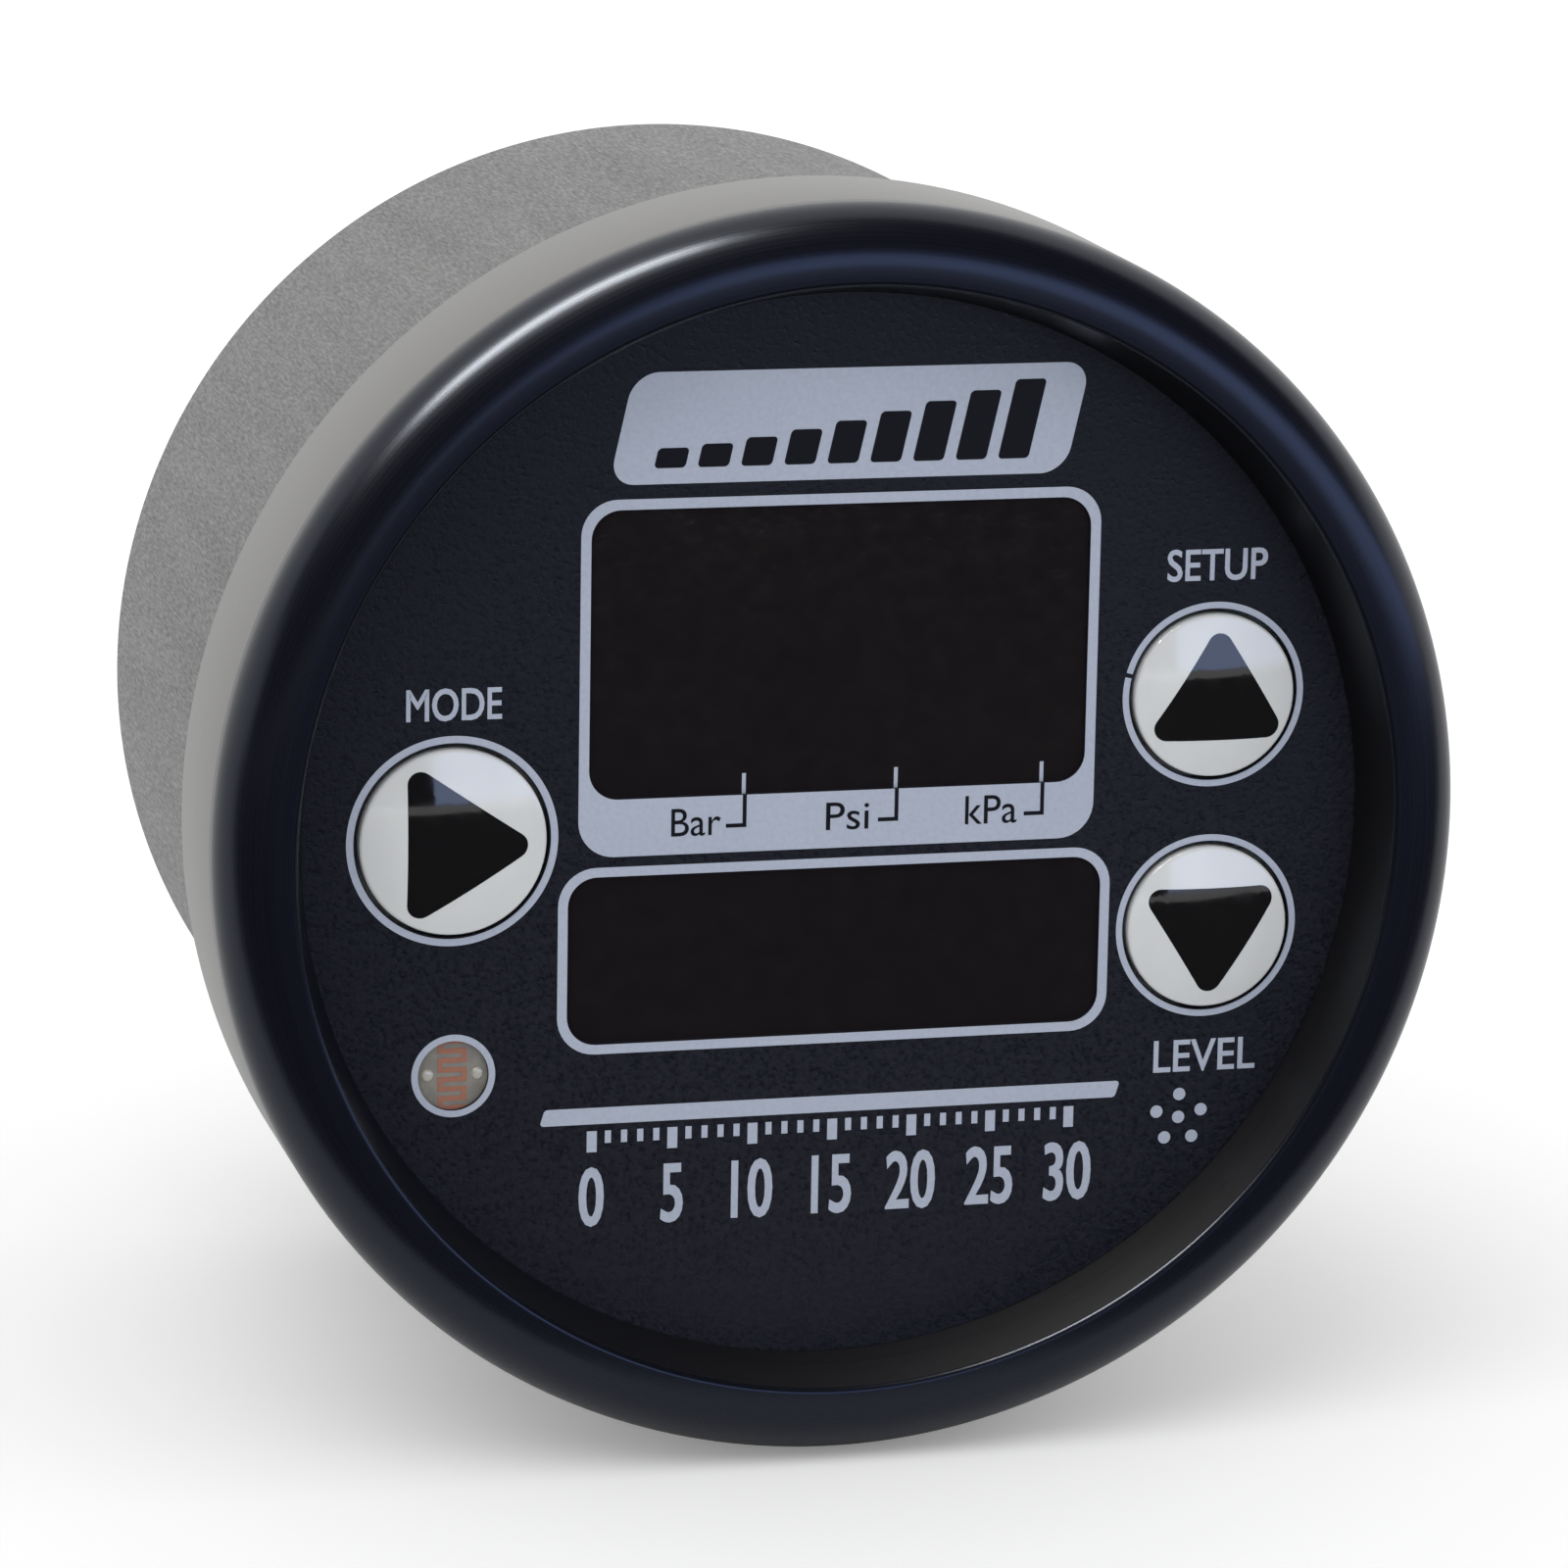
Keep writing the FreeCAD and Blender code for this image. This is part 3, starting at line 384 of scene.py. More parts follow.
def fresh_object(name: str, form: bmesh.types.BMesh) -> bpy.types.Object:
    """Turn a finished form into a linked object with smooth shading and crisp edges.

    Args:
        name: The piece's name.
        form: Its form, in metres and in place. It is freed here.

    Returns:
        The new object.
    """
    bmesh.ops.remove_doubles(form, verts=form.verts, dist=WELD)
    bmesh.ops.recalc_face_normals(form, faces=form.faces)
    for face in form.faces:
        face.smooth = True
    for edge in form.edges:
        edge.smooth = edge.calc_face_angle(0.0) < SHARP_ANGLE
    mesh = bpy.data.meshes.new(name)
    form.to_mesh(mesh)
    form.free()
    piece = bpy.data.objects.new(name, mesh)
    bpy.context.scene.collection.objects.link(piece)
    return piece


def dress(piece: bpy.types.Object, body: str, finish: Finish, *nodes: str) -> bpy.types.Object:
    """Give a new piece its finish and its body, and hide the nodes that it stands for.

    Args:
        piece: The new piece.
        body: The body that it rides on.
        finish: Its finish.
        nodes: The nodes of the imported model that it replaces.

    Returns:
        The same piece.
    """
    piece.data.materials.clear()
    piece.data.materials.append(finish.material())
    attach(piece, body)
    if nodes:
        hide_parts(*nodes)
    LOG.info("%s: %d faces on %s", piece.name, len(piece.data.polygons), body)
    return piece


def paint(node: str, finish: Finish) -> None:
    """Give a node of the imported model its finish, and leave its mesh alone."""
    carried = frame["nodes"][node]
    carried.data.materials.clear()
    carried.data.materials.append(finish.material())
    LOG.info("%s: carried over", node)


def rounded(corners: Sequence[Point], radii: dict[int, float], steps: int = 6) -> list[Point]:
    """Round chosen corners of a closed outline with arcs.

    Args:
        corners: The outline's corners in order.
        radii: The radius at each corner that is rounded, by its number.
        steps: Straight runs in each arc.

    Returns:
        The outline's points.
    """
    points: list[Point] = []
    for number, corner in enumerate(corners):
        here = Vector(corner)
        if number not in radii:
            points.append(corner)
            continue
        before = (Vector(corners[number - 1]) - here).normalized()
        after = (Vector(corners[(number + 1) % len(corners)]) - here).normalized()
        half = before.angle(after) / 2
        reach = radii[number] / math.tan(half)
        centre = here + (before + after).normalized() * (radii[number] / math.sin(half))
        start = here + before * reach - centre
        sweep = (here + after * reach - centre).angle_signed(start)
        for step in range(steps + 1):
            turn = Matrix.Rotation(sweep * step / steps, 2)
            points.append(tuple(centre + turn @ start))
    return points


def arc(centre: Point, radius: float, start: float, end: float, steps: int) -> list[Point]:
    """Return points along an arc, with its angles in degrees."""
    angles = [math.radians(start + (end - start) * step / steps) for step in range(steps + 1)]
    return [(centre[0] + radius * math.cos(a), centre[1] + radius * math.sin(a)) for a in angles]


def turned(outline: Iterable[Point], centre: Point = (0.0, 0.0), steps: int = TURN_STEPS,
           closed: bool = True) -> bmesh.types.BMesh:
    """Spin an outline round an axis along Y.

    Args:
        outline: Radius and place along Y of each point, in millimetres.
        centre: Where the axis passes, across and up, in millimetres.
        steps: Steps in the full turn.
        closed: Whether the last point joins the first.

    Returns:
        The turned form, in metres.
    """
    form = bmesh.new()
    points = [form.verts.new((radius * MM, along * MM, 0.0)) for radius, along in outline]
    pairs = list(zip(points, points[1:]))
    if closed:
        pairs.append((points[-1], points[0]))
    edges = [form.edges.new(pair) for pair in pairs]
    bmesh.ops.spin(form, geom=points + edges, cent=(0, 0, 0), axis=(0, 1, 0),
                   angle=math.tau, steps=steps, use_merge=True)
    bmesh.ops.remove_doubles(form, verts=form.verts, dist=WELD)
    bmesh.ops.translate(form, verts=form.verts, vec=(centre[0] * MM, 0.0, centre[1] * MM))
    return form


def centre_of(node: str) -> tuple[float, float, float]:
    """Return the middle of a node's box, in millimetres."""
    low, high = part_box(node)
    return tuple((low + high) / 2 / MM)


def spans(node: str) -> tuple[tuple[float, float], ...]:
    """Return a node's extent along X, Y and Z, in millimetres."""
    low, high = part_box(node)
    return tuple((low[axis] / MM, high[axis] / MM) for axis in range(3))


def softened(node: str, name: str, width: float, segments: int = 2) -> bpy.types.Object:
    """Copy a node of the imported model, merge its facets and round its edges.

    Args:
        node: The node to copy.
        name: The new piece's name.
        width: How wide its rounded edges are, in millimetres.
        segments: Steps across each rounded edge.

    Returns:
        The new piece.
    """
    form = bmesh.new()
    form.from_mesh(frame["nodes"][node].data)
    bmesh.ops.remove_doubles(form, verts=form.verts, dist=FACET_WELD)
    bmesh.ops.dissolve_limit(form, angle_limit=FLAT_ANGLE, verts=form.verts, edges=form.edges)
    piece = fresh_object(name, form)
    bevel = piece.modifiers.new("rounded_edges", "BEVEL")
    bevel.width = width * MM
    bevel.segments = segments
    bevel.limit_method = "ANGLE"
    bevel.angle_limit = SHARP_ANGLE
    return piece


class Print:
    """Flat ink laid on a plane that faces the driver.

    Shapes are drawn with x across and y up, in millimetres, and are then thickened and stood up.
    """

    def __init__(self) -> None:
        """Start with no ink."""
        self.ink = bmesh.new()

    def plate(self, width: float, height: float, corner: float, centre: Point, lean: float = 0.0) -> None:
        """Add a rounded rectangle.

        Args:
            width: Its width.
            height: Its height.
            corner: The radius of its corners.
            centre: Its centre.
            lean: How far its top is pushed across, as a share of its height.
        """
        part = bmesh.new()
        plate_loop(part, width, height, corner, centre)
        shear = Matrix.Identity(4)
        shear[0][1] = lean
        bmesh.ops.transform(part, matrix=shear, space=Matrix.Translation((-centre[0], -centre[1], 0)),
                            verts=part.verts)
        pour(part, self.ink)

    def frame(self, outer: Plate, inner: Plate) -> None:
        """Add the band between two rounded rectangles, each as width, height, corner and centre."""
        part = bmesh.new()
        for face in (plate_loop(part, *outer), plate_loop(part, *inner)):
            bmesh.ops.delete(part, geom=[face], context="FACES_ONLY")
        bmesh.ops.bridge_loops(part, edges=part.edges)
        pour(part, self.ink)

    def disc(self, radius: float, centre: Point, steps: int = DRAFT_STEPS) -> None:
        """Add a round dot."""
        part = bmesh.new()
        bmesh.ops.create_circle(part, cap_ends=True, segments=steps, radius=radius)
        bmesh.ops.translate(part, verts=part.verts, vec=(*centre, 0))
        pour(part, self.ink)

    def ring(self, outer: float, inner: float, centre: Point, gap: tuple[float, float] | None = None) -> None:
        """Add a ring.

        Args:
            outer: Its outer radius.
            inner: Its inner radius.
            centre: Its centre.
            gap: Where it is broken, as an angle and a width in degrees.
        """
        part = bmesh.new()
        for radius in (outer, inner):
            bmesh.ops.create_circle(part, cap_ends=False, segments=TURN_STEPS, radius=radius)
        bmesh.ops.bridge_loops(part, edges=part.edges)
        if gap:
            broken = []
            for face in part.faces:
                middle = face.calc_center_median()
                turn = math.degrees(math.atan2(middle.y, middle.x)) - gap[0]
                if abs((turn + 180) % 360 - 180) < gap[1] / 2:
                    broken.append(face)
            bmesh.ops.delete(part, geom=broken, context="FACES")
        bmesh.ops.translate(part, verts=part.verts, vec=(*centre, 0))
        pour(part, self.ink)

    def stroke(self, start: Point, end: Point, width: float) -> None:
        """Add a straight stroke with square ends."""
        first, last = Vector(start), Vector(end)
        run = last - first
        part = bmesh.new()
        bmesh.ops.create_grid(part, x_segments=1, y_segments=1, size=0.5)
        bmesh.ops.scale(part, verts=part.verts, vec=(run.length, width, 1.0))
        bmesh.ops.rotate(part, verts=part.verts, matrix=Matrix.Rotation(math.atan2(run.y, run.x), 3, "Z"))
        middle = (first + last) / 2
        bmesh.ops.translate(part, verts=part.verts, vec=(middle.x, middle.y, 0))
        pour(part, self.ink)

    def word(self, text: str, left: float, right: float, low: float, high: float) -> None:
        """Add a word that fills a box.

        Args:
            text: The word.
            left: The box's left side.
            right: Its right side.
            low: Its lower side.
            high: Its upper side.
        """
        part, (width, height) = letters(text)
        bmesh.ops.scale(part, verts=part.verts, vec=((right - left) / width, (high - low) / height, 1.0))
        bmesh.ops.translate(part, verts=part.verts, vec=(left, low, 0))
        pour(part, self.ink)

    def number(self, text: str, centre: float, low: float, height: float, narrowing: float) -> None:
        """Add a number that keeps its digits' own widths.

        Args:
            text: The number.
            centre: Its middle, across.
            low: Its lower side.
            height: Its height.
            narrowing: The share of their usual width that its digits keep.
        """
        part, (width, tall) = letters(text)
        rise = height / tall
        across = rise * narrowing
        bmesh.ops.scale(part, verts=part.verts, vec=(across, rise, 1.0))
        bmesh.ops.translate(part, verts=part.verts, vec=(centre - width * across / 2, low, 0))
        pour(part, self.ink)

    def triangle(self, corners: Sequence[Point], corner_radius: float) -> None:
        """Add a triangle with rounded corners."""
        outline = rounded(corners, {number: corner_radius for number in range(3)}, steps=8)
        face = self.ink.faces.new([self.ink.verts.new((*point, 0)) for point in outline])
        face.normal_update()

    def stand_up(self, name: str, front: float, depth: float, shape: Callable[[Vector], float] | None = None,
                 grow: float = 0.0) -> bpy.types.Object:
        """Thicken the ink and stand it on its plane.

        Args:
            name: The piece's name.
            front: Where its front lies along Y.
            depth: How thick it is.
            shape: How far each point of the front is pushed back, for a crowned surface.
            grow: How far its outline is moved out.

        Returns:
            The new piece.
        """
        form = self.ink
        bmesh.ops.remove_doubles(form, verts=form.verts, dist=PRINT_WELD)
        if shape:
            bmesh.ops.triangulate(form, faces=form.faces)
            for _ in range(CROWN_CUTS):
                bmesh.ops.subdivide_edges(form, edges=form.edges, cuts=1, use_grid_fill=True)
            bmesh.ops.triangulate(form, faces=form.faces)
        for face in form.faces:
            if face.normal.z < 0:
                face.normal_flip()
        base = bmesh.ops.extrude_face_region(form, geom=form.faces[:])
        raised = [item for item in base["geom"] if isinstance(item, bmesh.types.BMVert)]
        bmesh.ops.translate(form, verts=raised, vec=(0, 0, depth))
        if grow:
            bmesh.ops.recalc_face_normals(form, faces=form.faces)
            form.normal_update()
            for vert, outward in [(vert, vert.normal.to_2d()) for vert in form.verts]:
                if outward.length > 0.05:
                    vert.co += outward.normalized().to_3d() * grow
        if shape:
            for vert in form.verts:
                vert.co.z -= shape(vert.co)
        bmesh.ops.scale(form, verts=form.verts, vec=(MM, MM, MM))
        bmesh.ops.transform(form, matrix=FACE_UP, verts=form.verts)
        bmesh.ops.translate(form, verts=form.verts, vec=(0, (front + depth) * MM, 0))
        return fresh_object(name, form)


def letters(text: str) -> tuple[bmesh.types.BMesh, tuple[float, float]]:
    """Return a flat form of a text, with its lower left corner at the origin, and its width and height."""
    curve = bpy.data.curves.new("word", "FONT")
    curve.body = text
    curve.resolution_u = 4
    holder = bpy.data.objects.new("word", curve)
    bpy.context.scene.collection.objects.link(holder)
    flat = bpy.data.meshes.new_from_object(holder)
    part = bmesh.new()
    part.from_mesh(flat)
    bpy.data.objects.remove(holder)
    bpy.data.curves.remove(curve)
    bpy.data.meshes.remove(flat)
    xs = [vert.co.x for vert in part.verts]
    ys = [vert.co.y for vert in part.verts]
    bmesh.ops.translate(part, verts=part.verts, vec=(-min(xs), -min(ys), 0))
    return part, (max(xs) - min(xs), max(ys) - min(ys))


def plate_loop(form: bmesh.types.BMesh, width: float, height: float, corner: float,
               centre: Point) -> bmesh.types.BMFace:
    """Add one rounded rectangle to a flat form and return its face."""
    made = bmesh.ops.create_grid(form, x_segments=1, y_segments=1, size=0.5)
    verts = made["verts"]
    bmesh.ops.scale(form, verts=verts, vec=(width, height, 1.0))
    bmesh.ops.translate(form, verts=verts, vec=(*centre, 0))
    face = verts[0].link_faces[0]
    if not corner:
        return face
    done = bmesh.ops.bevel(form, geom=verts, offset=corner, offset_type="OFFSET", segments=10,
                           profile=0.5, affect="VERTICES", material=-1)
    return done["verts"][0].link_faces[0]


@dataclass
class Shells:
    """The bezel ring, the flange ring and the can, with the seals between them. Sizes are in millimetres."""

    crest_inset: float = 3.8
    wall_slope: float = 0.9
    roll_radius: float = 2.9
    spigot_inset: float = 2.55
    spigot_wall: float = 0.75
    crest_round: float = 0.3
    lip_round: float = 0.12
    flange_break: float = 0.25
    can_front_bore: float = 28.0
    can_rear_bore: float = 26.4
    board_seat: float = 2.6
    cover_seat_radius: float = 28.4
    cover_seat_depth: float = 2.7
    can_edge: float = 0.5
    cover_seat_edge: float = 0.15
    seat_chamfer: float = 0.5
    wall_margin: float = 0.1
    crest_margin: float = 0.05

    def build(self) -> None:
        """Make the shells and dress the seals."""
        self.bezel()
        self.flange()
        self.can()
        paint("lens_gasket", GASKET_RUBBER)
        paint("cover_gasket", GASKET_RUBBER)

    def bezel(self) -> None:
        """Turn the black ring round the face, with its rolled front and sloped inner wall."""
        (_, outer), (front, back), _ = spans("bezel_ring")
        overlay_front = spans("graphic_overlay")[1][0]
        flange_front = spans("flange_ring")[1][0]
        crest = outer - self.crest_inset
        lip = crest - self.wall_slope
        spigot = outer - self.spigot_inset
        roll_centre = (outer - self.roll_radius, front + self.roll_radius)
        inside = rounded([
            (spigot - self.spigot_wall, overlay_front),
            (lip, overlay_front),
            (crest, front),
            (roll_centre[0], front),
        ], {1: self.lip_round, 2: self.crest_round}, steps=8)
        roll = arc(roll_centre, self.roll_radius, -90.0, 0.0, DRAFT_STEPS)
        behind = [
            (outer, flange_front),
            (spigot, flange_front),
            (spigot, back),
            (spigot - self.spigot_wall, back),
        ]
        bezel = fresh_object("bezel", turned(inside[:-1] + roll + behind))
        dress(bezel, HOUSING, BLACK_ANODISED, "bezel_ring")
        bezel.data.materials.append(ANODISED_WALL.material())
        for face in bezel.data.polygons:
            middle = face.center / MM
            reach = math.hypot(middle.x, middle.z)
            on_slope = lip - self.wall_margin < reach < crest - self.crest_margin
            if on_slope and front + self.wall_margin < middle.y < overlay_front:
                face.material_index = 1

    def flange(self) -> None:
        """Turn the smooth aluminium ring behind the bezel."""
        (_, outer), (front, back), _ = spans("flange_ring")
        body = spans("can_tube")[0][1]
        seat = body - self.seat_chamfer
        outline = rounded([
            (seat, front),
            (outer, front),
            (outer, back),
            (body, back),
            (seat, back - self.seat_chamfer),
        ], {1: self.flange_break, 2: self.flange_break})
        dress(fresh_object("flange", turned(outline)), HOUSING, TURNED_ALUMINIUM, "flange_ring")

    def can(self) -> None:
        """Turn the tumbled can with its bores and its board seat."""
        (_, outer), (front, back), _ = spans("can_tube")
        seat = outer - self.seat_chamfer
        outline = rounded([
            (self.can_front_bore, front),
            (seat, front),
            (seat, -self.seat_chamfer),
            (outer, 0.0),
            (outer, back),
            (self.cover_seat_radius, back),
            (self.cover_seat_radius, back - self.cover_seat_depth),
            (self.can_rear_bore, back - self.cover_seat_depth),
            (self.can_rear_bore, self.board_seat),
            (self.can_front_bore, self.board_seat),
        ], {4: self.can_edge, 5: self.cover_seat_edge})
        dress(fresh_object("can", turned(outline)), HOUSING, TUMBLED_ALUMINIUM, "can_tube")


@dataclass
class Face:
    """The printed film and the smoked sheet behind it. Sizes are in millimetres, x across and z up."""

    ink_depth: float = 0.03
    ink_proud: float = 0.012
    mode_ring: tuple[float, float] = (5.356, 4.99)
    small_ring: tuple[float, float] = (4.79, 4.46)
    sensor_ring: tuple[float, float] = (2.135, 1.8)
    small_ring_break: tuple[float, float] = (165.5, 2.4)
    upper_frame: Plate = (26.72, 18.12, 1.85, (0.0, 8.17))
    upper_opening: Plate = (25.68, 14.66, 1.5, (0.0, 9.37))
    lower_frame: Plate = (28.7, 9.64, 1.95, (0.0, -6.23))
    lower_opening: Plate = (27.7, 8.66, 1.5, (0.0, -6.23))
    leader_places: tuple[float, ...] = (-4.85, 3.02, 10.65)
    leader_top: float = 3.09
    leader_edge: float = 2.04
    leader_foot: float = 0.48
    leader_reach: float = 0.95
    leader_width: float = 0.2
    dot_radius: float = 0.33
    dots: tuple[Point, ...] = (
        (18.42, -14.71), (17.22, -15.59), (19.6, -15.58), (18.4, -15.93), (17.68, -16.99), (19.14, -16.98),
    )
    key_words: tuple[tuple[str, float, float, float, float], ...] = (
        ("MODE", -22.07, -17.3, 6.4, 8.0),
        ("SETUP", 16.95, 22.2, 12.2, 13.8),
        ("LEVEL", 17.0, 22.4, -13.5, -11.85),
    )
    unit_words: tuple[tuple[str, float, float, float, float], ...] = (
        ("Bar", -8.61, -6.07, 0.02, 1.45),
        ("Psi", -0.63, 1.59, 0.02, 1.45),
        ("kPa", 6.62, 9.33, 0.02, 1.5),
    )
    badge_size: tuple[float, float] = (23.4, 5.6)
    badge_centre: Point = (0.3, 20.75)
    badge_lean: float = 0.22
    badge_corner: float = 1.3
    badge_bars: int = 9
    badge_margin: float = 1.8
    badge_floor: float = 0.8
    badge_headroom: float = 2.6
    badge_rise: float = 1.0
    badge_curve: float = 1.4
    bar_share: float = 0.72
    bar_corner: float = 0.22
    scale_width: float = 30.0
    scale_margin: float = 2.5
    scale_lean: float = 0.3
    scale_corner: float = 0.12
    tick_top: float = 1.2
    tick_length: float = 1.0
    tick_width: float = 0.42
    minor_length: float = 0.55
    minor_width: float = 0.22
    minor_steps: int = 5
    number_top: float = 3.1
    scale_top: float = -13.9
    scale_bar: float = 0.72
    scale_numbers: tuple[str, ...] = ("0", "5", "10", "15", "20", "25", "30")
    number_height: float = 3.0
    number_weight: float = 0.07
    number_narrowing: float = 0.62
    word_weight: float = 0.035

    def build(self) -> None:
        """Dress the film and the sheet, and lay every print on the film."""
        paint("graphic_overlay", OVERLAY_FILM)
        paint("smoked_lens", SMOKED_WINDOW)
        self.front = spans("graphic_overlay")[1][0] - self.ink_proud
        self.rings()
        self.frames()
        self.words()
        self.units()
        self.sounder_dots()
        self.badge()
        self.number_scale()

    def lay(self, ink: Print, name: str, finish: Finish, step: int = 0, grow: float = 0.0) -> None:
        """Stand a print on the film.

        Args:
            ink: The print.
            name: The piece's name.
            finish: Its ink.
            step: How many inks lie under it.
            grow: How far its outline is moved out.
        """
        front = self.front - step * self.ink_proud
        dress(ink.stand_up(name, front, self.ink_depth, grow=grow), HOUSING, finish)

    def rings(self) -> None:
        """Ring each key and the light sensor."""
        ink = Print()
        for key, sizes, gap in (
            ("mode", self.mode_ring, None),
            ("up", self.small_ring, self.small_ring_break),
            ("down", self.small_ring, None),
        ):
            across, _, up = centre_of(f"{key}_button")
            ink.ring(*sizes, (across, up), gap)
        across, _, up = centre_of("light_sensor")
        ink.ring(*self.sensor_ring, (across, up))
        self.lay(ink, "print_rings", PALE_INK)

    def frames(self) -> None:
        """Frame both windows, the upper one with a wide band below it."""
        ink = Print()
        ink.frame(self.upper_frame, self.upper_opening)
        ink.frame(self.lower_frame, self.lower_opening)
        self.lay(ink, "print_frames", PALE_INK)
        ticks = Print()
        for across in self.leader_places:
            ticks.stroke((across, self.leader_top), (across, self.leader_edge), self.leader_width)
        front = spans("smoked_lens")[1][0] - self.ink_proud
        dress(ticks.stand_up("print_window_ticks", front, self.ink_depth), HOUSING, PALE_INK)

    def words(self) -> None:
        """Name the keys."""
        ink = Print()
        for word in self.key_words:
            ink.word(*word)
        self.lay(ink, "print_key_words", PALE_INK, grow=self.word_weight)

    def units(self) -> None:
        """Name the units on the pale band, each with its leader."""
        ink = Print()
        for word in self.unit_words:
            ink.word(*word)
        half = self.leader_width / 2
        for across in self.leader_places:
            ink.stroke((across, self.leader_edge), (across, self.leader_foot - half), self.leader_width)
            ink.stroke((across - half, self.leader_foot), (across - self.leader_reach, self.leader_foot),
                       self.leader_width)
        self.lay(ink, "print_units", BLACK_INK, step=1)

    def sounder_dots(self) -> None:
        """Mark the buzzer with six dots."""
        ink = Print()
        for place in self.dots:
            ink.disc(self.dot_radius, place)
        self.lay(ink, "print_sounder_dots", PALE_INK)

    def badge(self) -> None:
        """Lay a leaning badge with a rising bar graph over the upper window."""
        ink = Print()
        ink.plate(*self.badge_size, self.badge_corner, self.badge_centre, self.badge_lean)
        self.lay(ink, "print_badge", PALE_INK)
        bars = Print()
        width, height = self.badge_size
        pitch = (width - 2 * self.badge_margin) / self.badge_bars
        floor = self.badge_centre[1] - height / 2 + self.badge_floor
        for number in range(self.badge_bars):
            share = (number / (self.badge_bars - 1)) ** self.badge_curve
            rise = self.badge_rise + (height - self.badge_headroom) * share
            middle = floor + rise / 2
            lean = (middle - self.badge_centre[1]) * self.badge_lean
            left = self.badge_centre[0] - width / 2 + self.badge_margin
            across = left + pitch * (number + 0.5) + lean
            bars.plate(pitch * self.bar_share, rise, self.bar_corner, (across, middle), self.badge_lean)
        self.lay(bars, "print_badge_bars", BLACK_INK, step=1)

    def number_scale(self) -> None:
        """Lay a bar with ticks and plain numbers under the lower window."""
        ink = Print()
        top = self.scale_top
        bar_centre = (0.0, top - self.scale_bar / 2)
        ink.plate(self.scale_width, self.scale_bar, self.scale_corner, bar_centre, self.scale_lean)
        span = self.scale_width - 2 * self.scale_margin
        count = len(self.scale_numbers)
        step = span / (count - 1)
        tick = top - self.tick_top
        for number, text in enumerate(self.scale_numbers):
            share = number / (count - 1) - 0.5
            across = share * span
            ink.stroke((across, tick), (across, tick - self.tick_length), self.tick_width)
            if number < count - 1:
                for minor in range(1, self.minor_steps):
                    place = across + step * minor / self.minor_steps
                    ink.stroke((place, tick), (place, tick - self.minor_length), self.minor_width)
            low = top - self.number_top - self.number_height
            ink.number(text, across, low, self.number_height, self.number_narrowing)
        self.lay(ink, "print_number_scale", PALE_INK, grow=self.number_weight)


@dataclass
class Keys:
    """The three domed keys and their arrows. Sizes are in millimetres."""

    crown: float = 0.55
    edge_round: float = 0.18
    rim_width: float = 0.75
    rim_depth: float = 0.6
    rim_front: float = -6.35
    rim_edge: float = 0.1
    stem_radius: float = 1.5
    crown_steps: int = 24
    turn_steps: int = 128
    arrow_depth: float = 0.03
    arrow_proud: float = 0.012
    arrow_corner: float = 0.66
    arrows: dict[str, tuple[Point, ...]] = field(default_factory=lambda: {
        "mode": ((-22.1, 4.54), (-22.1, -4.01), (-15.45, 0.03)),
        "up": ((19.66, 10.13), (15.8, 4.05), (23.49, 4.05)),
        "down": ((15.78, -3.69), (23.45, -3.69), (19.6, -9.73)),
    })

    def build(self) -> None:
        """Make each key's cap and arrow."""
        for key, corners in self.arrows.items():
            self.cap(key)
            self.arrow(key, corners)
            paint(f"{key}_plunger", PLUNGER_PLASTIC)

    def dome(self, key: str) -> tuple[float, float, float]:
        """Return a cap's radius, the radius of its crown and its apex along Y."""
        (low, high), (apex, _), _ = spans(f"{key}_button")
        radius = (high - low) / 2 - self.rim_width
        return radius, (radius**2 + self.crown**2) / (2 * self.crown), apex

    def cap(self, key: str) -> None:
        """Turn one glossy white cap with its rim and stem."""
        radius, sphere, apex = self.dome(key)
        across, _, up = centre_of(f"{key}_button")
        back = spans(f"{key}_button")[1][1]
        widest = math.degrees(math.asin(radius / sphere))
        crown = arc((0.0, apex + sphere), sphere, -90.0, -90.0 + widest, self.crown_steps)
        rim = radius + self.rim_width
        side = rounded([
            crown[-2],
            crown[-1],
            (radius, self.rim_front),
            (rim, self.rim_front),
            (rim, self.rim_front + self.rim_depth),
            (self.stem_radius, self.rim_front + self.rim_depth),
            (self.stem_radius, back),
            (0.0, back),
        ], {1: self.edge_round, 3: self.rim_edge, 4: self.rim_edge})
        form = turned(crown[:-2] + side, (across, up), self.turn_steps, closed=False)
        dress(fresh_object(f"{key}_cap", form), f"{key}_key", KEY_WHITE, f"{key}_button")

    def arrow(self, key: str, corners: Sequence[Point]) -> None:
        """Lay one black arrow on its cap's crown."""
        _, sphere, apex = self.dome(key)
        across, _, up = centre_of(f"{key}_button")

        def crown(place: Vector) -> float:
            """Return how far the crown falls back at a place."""
            reach = math.hypot(place.x - across, place.y - up)
            return sphere - math.sqrt(sphere**2 - reach**2)

        ink = Print()
        ink.triangle(corners, self.arrow_corner)
        piece = ink.stand_up(f"{key}_arrow", apex - self.arrow_proud, self.arrow_depth, crown)
        dress(piece, f"{key}_key", KEY_ARROW)


